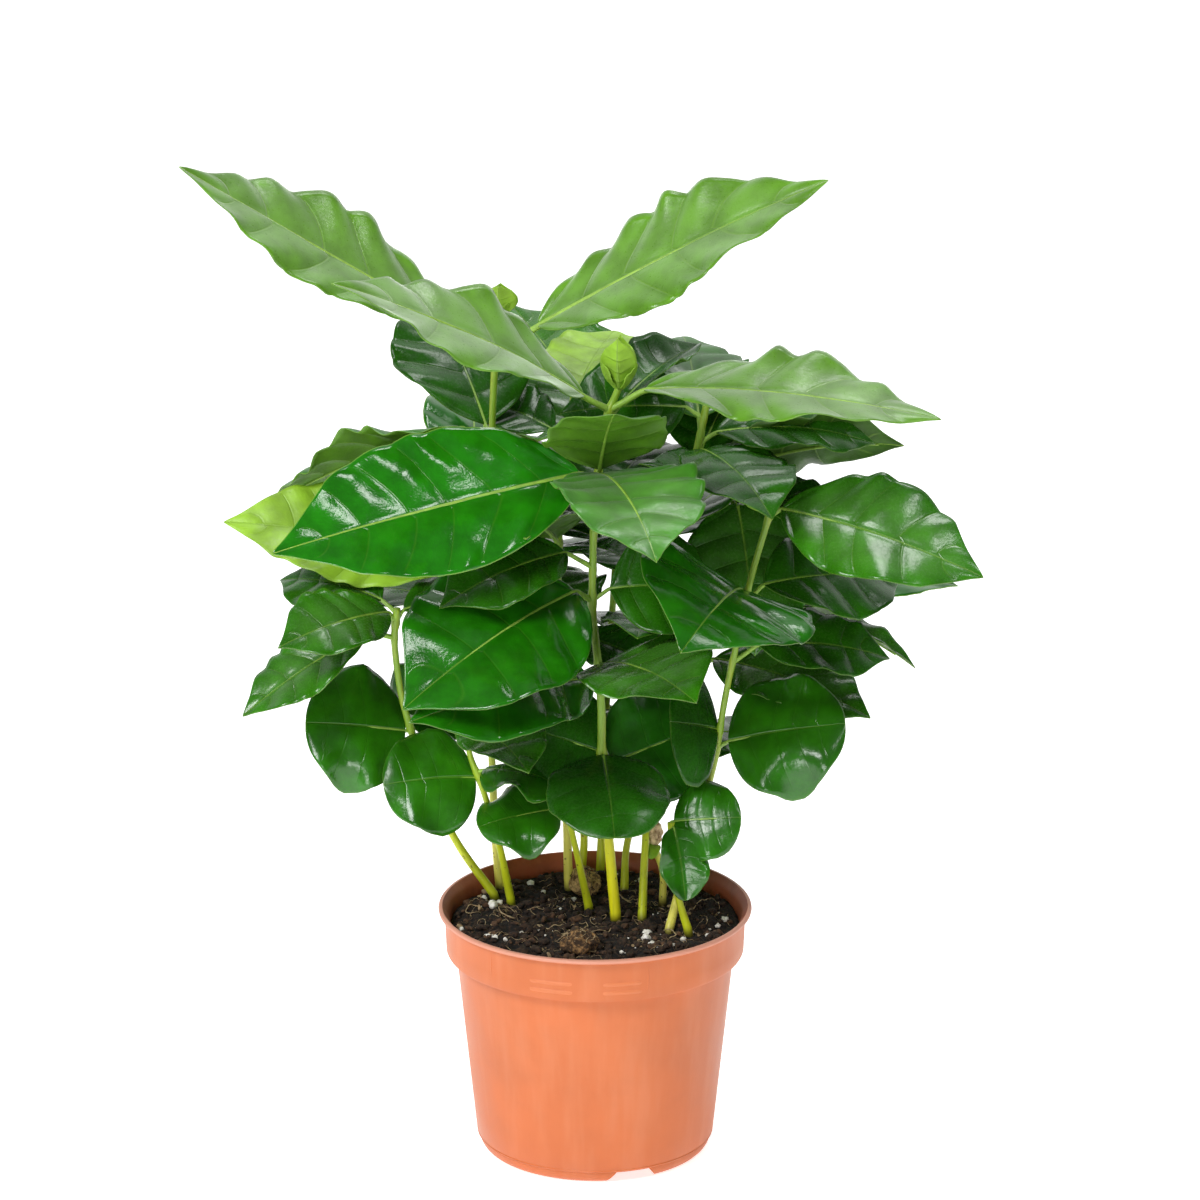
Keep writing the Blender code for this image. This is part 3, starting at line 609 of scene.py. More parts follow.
LEAF_LOOKS = {
    "satin": look((0.078, 0.225, 0.002), (0.09, 0.22, 0.012), 0.32, lobes=1.8, quilt=0.65, spacing=21,
                  rib=0.5, line=0.25, bloom=0.22, sheen=0.65),
    "glossy": look((0.009, 0.150, 0.0015), UNDERSIDE, 0.14, wave=0.5, lobes=0.3, quilt=0.6, crinkle=1.6,
                   buckle=0.01, spacing=17, rib=0.9, line=0.1, relief=0.6, margin=0.6),
    "shiny": look((0.010, 0.128, 0.0015), UNDERSIDE, 0.15, wave=0.8, lobes=0.5, quilt=0.75, crinkle=1.6,
                  buckle=0.035, spacing=17, rib=0.3, line=0.08, relief=0.7),
    "soft": look((0.040, 0.20, 0.006), UNDERSIDE, 0.33, wave=1.3, lobes=1.3, quilt=0.8, buckle=0.03,
                 rib=0.5, line=0.2, bloom=0.15, sheen=0.25),
    "mid": look((0.025, 0.150, 0.002), UNDERSIDE, 0.25, lobes=0.9, buckle=0.035, spacing=16, rib=0.3,
                line=0.16, bloom=0.1),
    "deep": look((0.015, 0.098, 0.002), (0.04, 0.11, 0.008), 0.25, quilt=0.9, buckle=0.04, spacing=15,
                 rib=0.22, specular=0.3),
    "lime": look((0.24, 0.44, 0.025), (0.24, 0.44, 0.025), 0.42, wave=0.9, lobes=0.2, quilt=0.5, rib=0.3),
    "olive": look((0.030, 0.15, 0.008), (0.075, 0.20, 0.006), 0.34, wave=1.4, lobes=1.0, buckle=0.05,
                  cup=-0.15),
    "round": look((0.018, 0.130, 0.002), ROUND_UNDERSIDE, 0.21, ROUND_LOOK, wave=0.35, crinkle=2.4,
                  sway=0.11, buckle=0.09, cup=-0.28, rib=0.13),
    # A darker copy of the round look: painted shade for round leaves low under the crown.
    "dusky": look((0.012, 0.086, 0.002), ROUND_UNDERSIDE, 0.27, ROUND_LOOK, wave=0.3, crinkle=1.8,
                  sway=0.09, buckle=0.07, cup=-0.25, rib=0.12, specular=0.35),
    "wrinkled": look((0.014, 0.115, 0.004), ROUND_UNDERSIDE, 0.17, ROUND_LOOK, wave=0.3, lobes=0.3,
                     quilt=0.25, crinkle=4.5, sway=0.09, buckle=0.08, cup=-0.2, rib=0.15, line=0.05,
                     relief=0.5),
}

# The look of each of a seedling's leaves, in the order of its list.
SEEDLING_LOOKS = {
    "centre": "glossy soft olive satin satin deep deep shiny deep deep mid shiny dusky wrinkled dusky",
    "tall": "satin satin deep olive lime mid deep deep round round",
    "left": "round round mid mid deep deep",
    "saddle": "round round mid",
    "right": "shiny mid round dusky deep deep deep",
    "second": "deep deep deep olive deep deep deep deep deep deep",
    "short": "round round",
    "folded": "round round",
    "inner": "lime deep mid",
    "rear": "",
    "rear_left": "",
    "rear_right": "mid",
}
STEM_LOOKS = dict(yellow=(0.88, 0.84, 0.012), green=(0.62, 0.70, 0.015), pale=(0.95, 0.88, 0.16))
STEM_TOP_COLOUR = (0.20, 0.36, 0.02)
STEM_STREAK = (0.42, 0.44, 0.03)
STEM_SPECK = (0.10, 0.05, 0.015)
STEM_FOOT = (0.05, 0.025, 0.012)
SEEDLING_STEMS = dict(centre="yellow", tall="pale", inner="pale", right="pale")
MIDRIB_COLOUR = (0.24, 0.42, 0.05)
MARGIN_COLOUR = (0.22, 0.42, 0.05)
# The grey of the painted sheen, which stands for reflected light.
PAINTED_SHEEN_COLOUR = (0.22, 0.37, 0.12)
SHEEN_ROUGHNESS = 0.4
SHEEN_TINT = (0.9, 1.0, 0.85)
FLOW_AND_HIGHLIGHT_COLOUR = (0.72, 0.36, 0.22)
PALE_LIP_TOP_COLOUR = (0.62, 0.30, 0.22)
DUST_COLOUR = (0.06, 0.035, 0.022)


def colour(rgb):
    """An opaque colour from its three parts."""
    return (*rgb, 1)


def shade(rgb, factor):
    """A colour made darker or lighter by a factor."""
    return tuple(part * factor for part in rgb)


class Paint:
    """The shader nodes of a material or a world while they are put together."""

    def __init__(self, owner, shader="Principled BSDF"):
        owner.use_nodes = True
        self.owner, self.tree = owner, owner.node_tree
        self.shader = self.tree.nodes[shader]

    def put(self, node, inputs):
        """Set a node's inputs, each from a socket or a constant."""
        for socket, value in inputs.items():
            if isinstance(value, bpy.types.NodeSocket):
                self.tree.links.new(value, node.inputs[socket])
            else:
                node.inputs[socket].default_value = value

    def add(self, kind, inputs, **settings):
        """The outputs of a new node."""
        node = self.tree.nodes.new("ShaderNode" + kind)
        for key, value in settings.items():
            setattr(node, key, value)
        self.put(node, inputs)
        return node.outputs

    def parts(self, vector):
        """The three components of a vector."""
        return tuple(self.add("SeparateXYZ", {"Vector": vector}))

    def place(self):
        """Where a point lies on its object."""
        return self.add("TexCoord", {})["Object"]

    def ramp(self, value, low, high, start=0.0, end=1.0):
        """value mapped smoothly from low..high to start..end."""
        limits = {"From Min": low, "From Max": high, "To Min": start, "To Max": end}
        return self.add("MapRange", {"Value": value, **limits}, interpolation_type="SMOOTHSTEP")["Result"]

    def mix(self, share, first, second):
        """A mix of two colours, each a constant or a socket, by a share that is a socket."""
        ends = [colour(end) if isinstance(end, tuple) else end for end in (first, second)]
        return self.add("MixRGB", {"Fac": share, "Color1": ends[0], "Color2": ends[1]})["Color"]

    def maths(self, operation, first, second=0.0):
        """The result of one operation on sockets or numbers."""
        return self.add("Math", {0: first, 1: second}, operation=operation)[0]

    def times(self, first, second):
        """The product of sockets or numbers."""
        return self.maths("MULTIPLY", first, second)

    def grain(self, scale, detail=3.0, roughness=0.55, stretch=None):
        """A noise over the object, scale in features per metre, finer or coarser along an axis by stretch."""
        place = self.place()
        if stretch:
            place = self.add("Mapping", {"Vector": place, "Scale": stretch})["Vector"]
        return self.add("TexNoise", {"Vector": place, "Scale": scale, "Detail": detail,
                                     "Roughness": roughness})["Fac"]

    def finish(self, face, roughness, height, strength, distance, more=()):
        """The material, with its colour, roughness, relief and what more it has put on its shader."""
        bump = self.add("Bump", {"Strength": strength, "Distance": distance, "Height": height})
        self.put(self.shader, {"Base Color": face, "Roughness": roughness, "Normal": bump["Normal"]})
        self.put(self.shader, dict(more))
        return self.owner


def leaf_material(name, facts, under):
    """One side of a leaf: mottled green, with painted shade beside its side veins, a painted grey sheen over
    the middle of some, and a light midrib and margin.

    The attribute veins holds the vein phase, the distance from the midrib in midrib widths, and the distance
    from the margin in millimetres.
    """
    paint = Paint(bpy.data.materials.new(name))
    rgb = facts["under" if under else "top"]
    roughness = min(0.6, facts["roughness"] + 0.2) if under else facts["roughness"]
    phase, aside, from_margin = paint.parts(paint.add("Attribute", {}, attribute_name="veins")["Vector"])
    off_middle = paint.maths("SUBTRACT", paint.maths("FRACT", phase), 0.5)
    from_vein = paint.maths("SUBTRACT", 0.5, paint.maths("ABSOLUTE", off_middle))
    inside = paint.ramp(from_margin, 0.4, 5.0)
    lateral = paint.times(paint.ramp(from_vein, 0.0, 0.045, 1, 0), inside)
    crease_and_painted_shade = paint.times(paint.ramp(from_vein, 0.0, 0.24, 1, 0), inside)
    middle = paint.ramp(paint.maths("ABSOLUTE", aside), 0.6, 1.2, 1, 0)
    margin = paint.ramp(from_margin, 0.1, 0.5, 1, 0)
    mottle = paint.grain(85, detail=4)
    fine = paint.grain(900, detail=2)
    face = paint.mix(paint.ramp(mottle, 0.3, 0.7), shade(rgb, 0.74), shade(rgb, 1.22))
    # A painted grey sheen over the middle of the upper face, which stands for reflected light.
    if facts["bloom"] and not under:
        bloom = paint.ramp(from_margin, 0.5, 10.5, 0, facts["bloom"])
        face = paint.mix(paint.times(bloom, paint.ramp(mottle, 0.2, 0.6, 0.7, 1)), face, PAINTED_SHEEN_COLOUR)
    vein_colour = tuple((own + pale) / 2 for own, pale in zip(rgb, MIDRIB_COLOUR))
    # The creases beside the side veins are painted darker: painted shade.
    for mask, share, tint in ((crease_and_painted_shade, 0.3 * facts["relief"], shade(rgb, 0.55)),
                              (lateral, 0.55 if under else facts["line"], vein_colour),
                              (middle, 0.85 if under else facts["rib"], MIDRIB_COLOUR),
                              (margin, facts["margin"], MARGIN_COLOUR)):
        face = paint.mix(paint.times(mask, share), face, tint)
    sign = 1 if under else -1
    veins = paint.times(paint.maths("ADD", lateral, crease_and_painted_shade), 0.5 * sign * facts["relief"])
    ridge = paint.maths("ADD", paint.times(middle, 0.8 * sign), paint.times(fine, 0.2))
    more = {"IOR": 1.5, "Specular IOR Level": facts["specular"]}
    if not under:
        more.update({"Sheen Weight": facts["sheen"], "Sheen Roughness": SHEEN_ROUGHNESS,
                     "Sheen Tint": colour(SHEEN_TINT)})
    return paint.finish(face, paint.ramp(fine, 0.3, 0.7, roughness * 0.85, roughness * 1.2),
                        paint.maths("ADD", veins, ridge), 0.6, 0.0005, more)


def stem_material(name, rgb, top_height):
    """A shoot: pale at its foot, wholly green from the top height up, in metres, with small brown specks."""
    paint = Paint(bpy.data.materials.new(name))
    height = paint.parts(paint.place())[2]
    streak = paint.grain(160, stretch=(3, 3, 0.25))
    blotch = paint.grain(520, detail=2)
    specks = paint.times(paint.ramp(blotch, 0.66, 0.74), paint.ramp(height, 0.090, 0.150, 1, 0.15))
    face = rgb
    for share, tint in ((paint.ramp(height, 0.100, top_height), STEM_TOP_COLOUR),
                        (paint.ramp(streak, 0.4, 0.75, 0, 0.4), STEM_STREAK),
                        (specks, STEM_SPECK),
                        (paint.ramp(height, 0.0895, 0.0945, 0.8, 0), STEM_FOOT)):
        face = paint.mix(share, face, tint)
    return paint.finish(face, paint.ramp(blotch, 0.3, 0.7, 0.34, 0.5), streak, 0.4, 0.0003)


def plain_material(name, dark, light, scale, roughness, relief=0.0004, low=0.35, high=0.65):
    """A rough natural surface between two colours."""
    paint = Paint(bpy.data.materials.new(name))
    coarse = paint.grain(scale, detail=6, roughness=0.7)
    face = paint.mix(paint.ramp(coarse, low, high), dark, light)
    rough = paint.ramp(coarse, 0.3, 0.7, roughness, min(1, roughness * 1.12))
    return paint.finish(face, rough, coarse, 0.7, relief)


def pot_material(name, rgb, dirt, pale_lip_top=0.0):
    """Moulded plastic: mottled a little, with lighter flow streaks that are partly painted streak highlights,
    a paler top to the lip, a fine grain and soil dust.
    """
    paint = Paint(bpy.data.materials.new(name))
    height = paint.parts(paint.place())[2]
    cloudy = paint.grain(28)
    flow = paint.grain(120, stretch=(1, 1, 0.12))
    smudge = paint.grain(75, detail=5, roughness=0.65)
    face = paint.mix(paint.ramp(cloudy, 0.3, 0.7), shade(rgb, 0.93), shade(rgb, 1.05))
    # Lighter vertical flow streaks, which are partly painted streak highlights.
    for share, tint in ((paint.ramp(flow, 0.4, 0.75, 0, 0.12), FLOW_AND_HIGHLIGHT_COLOUR),
                        # The top of the lip is paler.
                        (paint.times(paint.ramp(height, 0.0950, 0.0962), pale_lip_top), PALE_LIP_TOP_COLOUR),
                        (paint.ramp(smudge, 0.45, 0.75, 0, dirt), DUST_COLOUR)):
        face = paint.mix(share, face, tint)
    return paint.finish(face, paint.ramp(cloudy, 0.3, 0.7, 0.36, 0.48), paint.grain(2600, detail=1),
                        0.22, 0.00015, {"Specular IOR Level": 0.25})


# ---- Meshes.
class Pile:
    """Meshes gathered into one piece: points, faces, a material slot for each face, and point values."""

    def __init__(self):
        self.points, self.faces, self.slots, self.veins, self.atlas = [], [], [], [], []

    def add(self, points, faces, slots, veins=(), atlas=()):
        """Gather one more mesh, with a slot for each face or one for all."""
        start = len(self.points)
        self.points.extend(points)
        self.faces.extend(tuple(corner + start for corner in face) for face in faces)
        self.slots.extend(slots if hasattr(slots, "__len__") else [slots] * len(faces))
        self.veins.extend(veins)
        self.atlas.extend(atlas)

    def piece(self, name, materials):
        """A smooth mesh that rides on the one body."""
        mesh = mesh_of(name, self.points, self.faces, materials)
        mesh.polygons.foreach_set("material_index", np.asarray(self.slots, np.int32))
        if self.veins:
            layer = mesh.attributes.new("veins", "FLOAT_VECTOR", "POINT")
            layer.data.foreach_set("vector", np.asarray(self.veins, np.float32).ravel())
        if self.atlas:
            layer = mesh.uv_layers.new(name="OFBake")
            corners = np.empty(len(mesh.loops), np.int32)
            mesh.loops.foreach_get("vertex_index", corners)
            layer.data.foreach_set("uv", np.asarray(self.atlas, np.float32)[corners].ravel())
        mesh.shade_smooth()
        mesh.update()
        piece = linked(name, mesh)
        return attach(piece, "root")


def single(points, faces):
    """A pile of one mesh."""
    pile = Pile()
    pile.add(points, faces, 0)
    return pile


def wobble(point, scale, seed=0.0):
    """A smooth noise from -1 to 1 at a point in millimetres, scale in millimetres a feature."""
    x, y, z = point
    return noise.noise(Vector((x / scale + seed, y / scale - seed, z / scale + 2 * seed)))


# ---- Leaves.
BLADE_STEP = 1.5
BLADE_COLUMN = 2.0
LEAF_HALF_THICKNESS = 0.17
FEWEST_VEINS = 5
VEIN_LEAD = 0.17
VEIN_CURVE = 1.4
QUILT_SHARE = 0.075
CRINKLE_HEIGHT = 0.5
LOBE_SHARE = 0.075
BUCKLES = 1.6
GROOVE_DEPTH = 0.5
GROOVE_WIDTH = 1.2
RIB_WIDTH = (0.75, 0.2)
SOFT_FOLD = 0.15
THINNEST_HALF = 0.12


def blade_grid(spec):
    """The places of a blade's mesh points: shares of its length by shares of its half width."""
    steps = int(min(84, max(14, round(spec["length"] / BLADE_STEP))))
    columns = int(min(14, max(6, round(spec["width"] / 2 / BLADE_COLUMN))))
    shares = np.arange(steps + 1) / steps
    if spec["kind"] == "round":
        shares = (1 - np.cos(np.pi * shares)) / 2
    return shares, np.meshgrid(shares, np.linspace(-1, 1, 2 * columns + 1), indexing="ij")


def fine_blade(foot, spec, facts, seed):
    """A leaf's fine surface, both its faces and its rim, with its vein values.

    The arch, fold and waves are those of the coarse blade. The margin is lobed, the face swells between its
    side veins, and the midrib lies in a groove.
    """
    length = spec["length"]
    shares, (share, across) = blade_grid(spec)
    reach = np.abs(across)
    half = np.array([half_width(part, spec["kind"]) for part in shares]) * spec["width"] / 2
    half = np.maximum(half, THINNEST_HALF)[:, None]
    fade = np.sin(np.pi * share)
    offset = np.where(across > 0, WAVE_OFFSET / (2 * np.pi), 0)
    veins = max(FEWEST_VEINS, round(length / facts["spacing"]))
    strayed = 0.16 * np.sin(5.3 * share + seed) * np.sin(13.7 * share + 2 * seed)
    phase = veins * (share - VEIN_LEAD * reach ** VEIN_CURVE * (1 - 0.5 * share)) + offset + strayed
    between = np.abs(np.sin(np.pi * phase)) * (1 - 0.3 * np.sin(2.1 * np.floor(phase) + seed) ** 2)
    lobes = LOBE_SHARE * facts["lobes"] * (between ** 0.8 - 0.6) * reach ** 3 * fade ** 0.6
    aside = across * half * (1 + lobes)
    arch = length * spec["droop"] / 100 * 4 * share * (1 - share)
    fold = np.tan(math.radians(spec["fold"])) * half * (np.sqrt(reach ** 2 + SOFT_FOLD ** 2) - SOFT_FOLD)
    ripple = -WAVE_HEIGHT * facts["wave"] * length * np.cos(2 * np.pi * phase) * reach ** 2.2 * fade
    quilt = QUILT_SHARE * facts["quilt"] * length / veins * between ** 0.8
    quilt *= np.sin(np.pi * reach ** 0.75) ** 0.7
    buckle = facts["buckle"] * length * np.sin(2 * np.pi * BUCKLES * share + seed + 0.9 * np.sign(across))
    bend = (buckle * fade + facts["cup"] * half) * reach ** 2
    groove = -GROOVE_DEPTH * np.exp(-(aside / GROOVE_WIDTH) ** 2) * (1 - share)
    along, side, face = leaf_frame(spec)
    rise = arch + fold + ripple + bend + quilt * fade ** 0.5 + groove
    middle = foot + along * length * share[..., None] + side * aside[..., None] + face * rise[..., None]
    crinkle, sway = CRINKLE_HEIGHT * facts["crinkle"], facts["sway"] * length
    uneven = [crinkle * (wobble(point, 9, seed) + 0.5 * wobble(point, 4, seed))
              + sway * wobble(point, 0.45 * length, seed) for point in middle.reshape(-1, 3)]
    middle = middle + face * (np.reshape(uneven, share.shape) * fade * (0.2 + 0.8 * reach))[..., None]
    points = np.vstack([(middle + face * LEAF_HALF_THICKNESS).reshape(-1, 3),
                        (middle - face * LEAF_HALF_THICKNESS).reshape(-1, 3)])
    faces, under = sheet_faces(*share.shape)
    rib = RIB_WIDTH[0] + (RIB_WIDTH[1] - RIB_WIDTH[0]) * share
    from_margin = np.minimum((1 - reach) * half, (1 - share) * length * 0.6)
    values = np.stack([phase, aside / rib, from_margin], axis=-1).reshape(-1, 3)
    flat = np.stack([share, (across + 1) / 2], axis=-1).reshape(-1, 2)
    return points, faces, under, np.vstack([values, values]), flat


def sheet_faces(rows, wide):
    """Faces of a closed thin sheet: its upper grid, its lower grid and its rim, and which are not above."""
    count = rows * wide
    faces = []
    for row in range(rows - 1):
        for first in range(row * wide, row * wide + wide - 1):
            upper = (first, first + wide, first + wide + 1, first + 1)
            faces += [upper, tuple(count + upper[corner] for corner in (0, 3, 2, 1))]
    under = [0, 1] * (len(faces) // 2)
    rim = (list(range(wide - 1)) + list(range(wide - 1, count, wide))
           + list(range(count - 2, count - wide, -1)) + list(range(count - wide, 0, -wide)))
    for here, after in zip(rim, rim[1:] + rim[:1]):
        faces.append((here, after, count + after, count + here))
    return faces, under + [1] * len(rim)


# Where the midrib is pinned to its blade, and how far the stalk sags, in shares of the blade's length.
MIDRIB_MARKS = (0.0, 0.06, 0.15, 0.3, 0.45, 0.6, 0.75, 0.88)
STALK_SAG = 0.004


def midrib(node, foot, spec):
    """The leaf stalk, running on under the blade as its midrib and tapering to nothing."""
    *_, face = leaf_frame(spec)
    base = 0.55 + 0.006 * spec["length"]
    points = [node, (node + foot) / 2 - (0, 0, STALK_SAG * spec["length"])]
    points += [blade_point(foot, spec, share, 0) - face * (0.35 + GROOVE_DEPTH * (1 - share))
               for share in MIDRIB_MARKS]
    radii = [base * 1.25, base] + [base * (0.95 - 0.8 * share) for share in MIDRIB_MARKS]
    shares = np.linspace(0, 1, 4 * len(points))
    thick = np.interp(shares, np.linspace(0, 1, len(radii)), radii)
    return tube([way_point(points, share) for share in shares], thick, 8)


# A fine stem's waist, how it swells at each pair of leaves, and its steps.
SLIMMING = 0.2
NODE_SWELL = 0.22
NODE_SPAN = 2.2
STEM_STEP = 2.5


def fine_stem(seedling, node_heights):
    """A smooth stem with a slight swelling at each leaf pair and small unevenness."""
    way = seedling["way"]
    foot, tip = seedling["thick"]
    points, radii = [], []
    for share in np.linspace(0, 1, int((way[-1][2] - way[0][2]) / STEM_STEP)):
        point = way_point(way, share)
        swell = sum(math.exp(-((point[2] - height) / NODE_SPAN) ** 2) for height in node_heights)
        radius = (foot + (tip - foot) * share) / 2 * (1 - SLIMMING * math.sin(math.pi * share ** 0.8))
        radii.append(radius * (1 + NODE_SWELL * swell) * (1 + 0.05 * wobble(point, 7, 3.0)))
        points.append(point + np.array([wobble(point, 18, 1.0), wobble(point, 18, 7.0), 0]) * 0.25)
    points[0] = points[0] - (0, 0, 2)
    return tube(points, radii, 16)


# The leaves in a bud: turn, length and width as shares of the bud's length and radius, and slope.
BUD_LEAVES = [(262, 1.05, 2.8, 80), (84, 1.0, 2.6, 74), (176, 0.62, 1.7, 62), (352, 0.6, 1.7, 58)]


def opened_bud(seedling):
    """The young leaves in a bud: an outer and an inner pair, cupped and nearly upright."""
    length, radius = seedling["bud"]
    top = np.asarray(seedling["way"][-1], float)
    leaves = []
    for turn, tall, wide, rise in BUD_LEAVES:
        spec = leaf(0, turn, rise, length * tall, radius * wide, droop=-10, fold=30)
        leaves.append((top - (0, 0, 1.0) + heading(turn, 0) * 0.7, spec))
    return leaves


# ---- The plant.
LEAF_SEED_STEP = 3.7
SHOOT_GREENS_AT = 0.170


def placed_leaves():
    """Every seedling's leaves where the part's source puts them: the same trial turns, in the same order."""
    limbs = {}
    for name, seedling in SEEDLINGS.items():
        cut_height = min(spec["height"] for spec in seedling["leaves"]) - STEM_CUT_BELOW_LEAVES
        start, low_end, high_start = (share_at_height(seedling["way"], height)
                                      for height in (SOIL_TOP + GAP, cut_height, cut_height + GAP))
        limbs[name] = [tree_of(stem_stretch(seedling, start, low_end, 2, level_start=True)),
                       tree_of(stem_stretch(seedling, high_start, 1, 2))]
    foliage = {name: [] for name in SEEDLINGS}
    chosen = {name: [] for name in SEEDLINGS}
    for name, seedling in SEEDLINGS.items():
        others = [tree for other in SEEDLINGS if other != name for tree in limbs[other] + foliage[other]]
        for index, spec in enumerate(seedling["leaves"]):
            placed = placed_leaf(seedling, spec, others + [limbs[name][0]])
            if placed:
                chosen[name].append((index, placed[0]))
                foliage[name] += placed[1]
        if "bud" in seedling:
            foliage[name].append(tree_of(bud(seedling)))
    return chosen


def look_of(name, index, spec):
    """The named look of a leaf, and for one that has none, a look by its shape and its place in the list."""
    named = SEEDLING_LOOKS[name].split()
    if index < len(named):
        return named[index]
    if spec["kind"] == "round":
        return "round"
    return ("deep", "mid", "deep", "glossy")[index % 4]


def atlas_of(flat, cell, cells):
    """Places in the bake map: each leaf has a square, with its upper face above and its lower face below."""
    grid = math.ceil(math.sqrt(cells))
    corner = np.array([cell % grid, cell // grid])
    halves = [flat * (0.94, 0.44) + (0.03, up) for up in (0.53, 0.03)]
    return (np.vstack(halves) + corner) / grid


def build_plants():
    """Each seedling's leaves as one piece, and its stem, stalks and midribs as another."""
    leaf_materials = [leaf_material(f"leaf_{name}" + "_under" * under, facts, under)
                      for name, facts in LEAF_LOOKS.items() for under in (False, True)]
    stems = {name: stem_material("stem_" + name, rgb, SHOOT_GREENS_AT) for name, rgb in STEM_LOOKS.items()}
    rib = plain_material("midrib", shade(MIDRIB_COLOUR, 0.8), shade(MIDRIB_COLOUR, 1.15), 220, 0.42)
    names = list(LEAF_LOOKS)
    for name, specs in placed_leaves().items():
        seedling = SEEDLINGS[name]
        fine = [(*leaf_place(seedling, spec), spec, look_of(name, index, spec)) for index, spec in specs]
        heights = [node[2] for node, *_ in fine]
        if "bud" in seedling:
            fine += [(None, foot, spec, "lime") for foot, spec in opened_bud(seedling)]
        leaves, wood = Pile(), Pile()
        for cell, (node, foot, spec, wanted) in enumerate(fine):
            seed = LEAF_SEED_STEP * cell + len(name)
            points, faces, under, veins, flat = fine_blade(foot, spec, LEAF_LOOKS[wanted], seed)
            slots = [2 * names.index(wanted) + side for side in under]
            leaves.add(points, faces, slots, veins, atlas_of(flat, cell, len(fine)))
            if node is not None:
                wood.add(*midrib(node, foot, spec), 1)
        wood.add(*fine_stem(seedling, heights), 0)
        piece = leaves.piece("leaves_" + name, leaf_materials)
        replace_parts(piece, "foliage_" + name)
        piece = wood.piece("shoot_" + name, [stems[SEEDLING_STEMS.get(name, "green")], rib])
        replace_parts(piece, "stem_" + name)


def build_sprout():
    """The youngest seedling: a short pale stem under a dry papery husk, with a scrap of green below it."""
    tip = np.array(SPROUT_WAY[-1], float)
    pile = Pile()
    pile.add(*fine_stem(dict(way=SPROUT_WAY, thick=SPROUT_THICK), [tip[2] - 1]), 0)
    scrap = leaf(0, 250, -35, 7, 6, droop=20, fold=10, kind="round")
    pile.add(*fine_blade(tip + (1, -1.5, 1.5), scrap, LEAF_LOOKS["lime"], seed=2.0)[:2], 1)
    piece = pile.piece("shoot_sprout", [
        stem_material("stem_sprout", STEM_LOOKS["pale"], 0.13),
        plain_material("sprout_leaf", (0.20, 0.42, 0.02), (0.32, 0.56, 0.04), 300, 0.4),
    ])
    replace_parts(piece, "stem_sprout")
    centre = tip + (0, 0, HUSK_SIZE[2] / 2 + GAP + 0.2)
    points, faces = ball(5)
    shaped = []
    for point in points:
        turn = math.atan2(point[1], point[0])
        wrinkle = 1 + 0.09 * math.sin(9 * turn + 2 * point[2]) + 0.16 * wobble(point * 3, 1.2, 4.0)
        shaped.append(centre + point * np.array(HUSK_SIZE) / 2 * (wrinkle, wrinkle, 1) * 1.03)
    husk = single(shaped, faces).piece("husk_shell", [
        plain_material("husk", (0.26, 0.15, 0.07), (0.85, 0.66, 0.40), 420, 0.8, 0.0008)])
    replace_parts(husk, "husk")


# ---- The soil. Its roughness is in sizes and heights of bumps, and it falls towards the wall from the first
# measure of WALL_SLOPE, over the second.
SOIL_RINGS = 70
SOIL_SECTORS = 260
SOIL_ROUGHNESS = ((16, 2.2), (6, 2.0), (2.4, 1.1), (1.1, 0.5))
WALL_SLOPE = (46, 9)
SOIL_REACH = 53.5
CRUMBS = 2000
CRUMB_SIZE = (0.5, 3.8)
CRUMB_SEED = 17
FOOT_CLEARANCE = 3.3
LARGE_LIFT = CLOD_LIFT + 0.16
LARGE_SWELL = 1.08
FIBRES = 260
CLOD_FIBRES = 40
CLOD_FIBRE_RADIUS = 0.13
FIBRE_SEED = 23
FIBRE_REACH = 53
CURL_STEPS = 12
ROOTLET_PLACES = [(-22, -6), (-31, 2), (28, -20), (-12, -16), (6, -12), (36, 6), (-44, 8), (14, 16)]
PERLITE_SEED = 31
FINE_PERLITE = 60
PERLITE = [
    (-43, 20, 2.4), (-37, 16, 2.6), (-39.5, 12, 3.0), (-51, -9, 1.6), (-41, -18, 2.2), (-38, -25, 2.0),
    (-34, -27, 1.5), (20, -13, 3.0), (19.5, -20, 3.0), (21.5, -27, 2.4), (50, 2, 2.4), (47, -6, 1.8),
    (33.5, -19, 2.0), (43, -16, 1.8), (10, -36, 1.4), (-8, 22, 1.6), (-20, 28, 1.6), (28, 1, 1.4),
    (4, -46, 1.3), (37, -12, 1.2), (-28, -14, 1.4), (-17, -44, 1.2), (30, -32, 1.6), (-25, 38, 2.2),
    (18, 40, 2.2),
]


def ball(level):
    """Points on a unit sphere and its faces, 2 is coarse and 5 is fine."""
    shape = bmesh.new()
    bmesh.ops.create_icosphere(shape, subdivisions=level, radius=1)
    points = np.array([tuple(vertex.co) for vertex in shape.verts])
    faces = [tuple(vertex.index for vertex in face.verts) for face in shape.faces]
    shape.free()
    return points, faces


def soil_height(x, y):
    """The rough surface of the soil, lower and smoother by the wall."""
    rough = sum(height * wobble((x, y, 40), size, size) for size, height in SOIL_ROUGHNESS)
    near_wall = max(0.0, math.hypot(x, y) - WALL_SLOPE[0]) / WALL_SLOPE[1]
    return SOIL_TOP + 0.6 + rough * (1 - 0.6 * near_wall) - 1.2 * near_wall


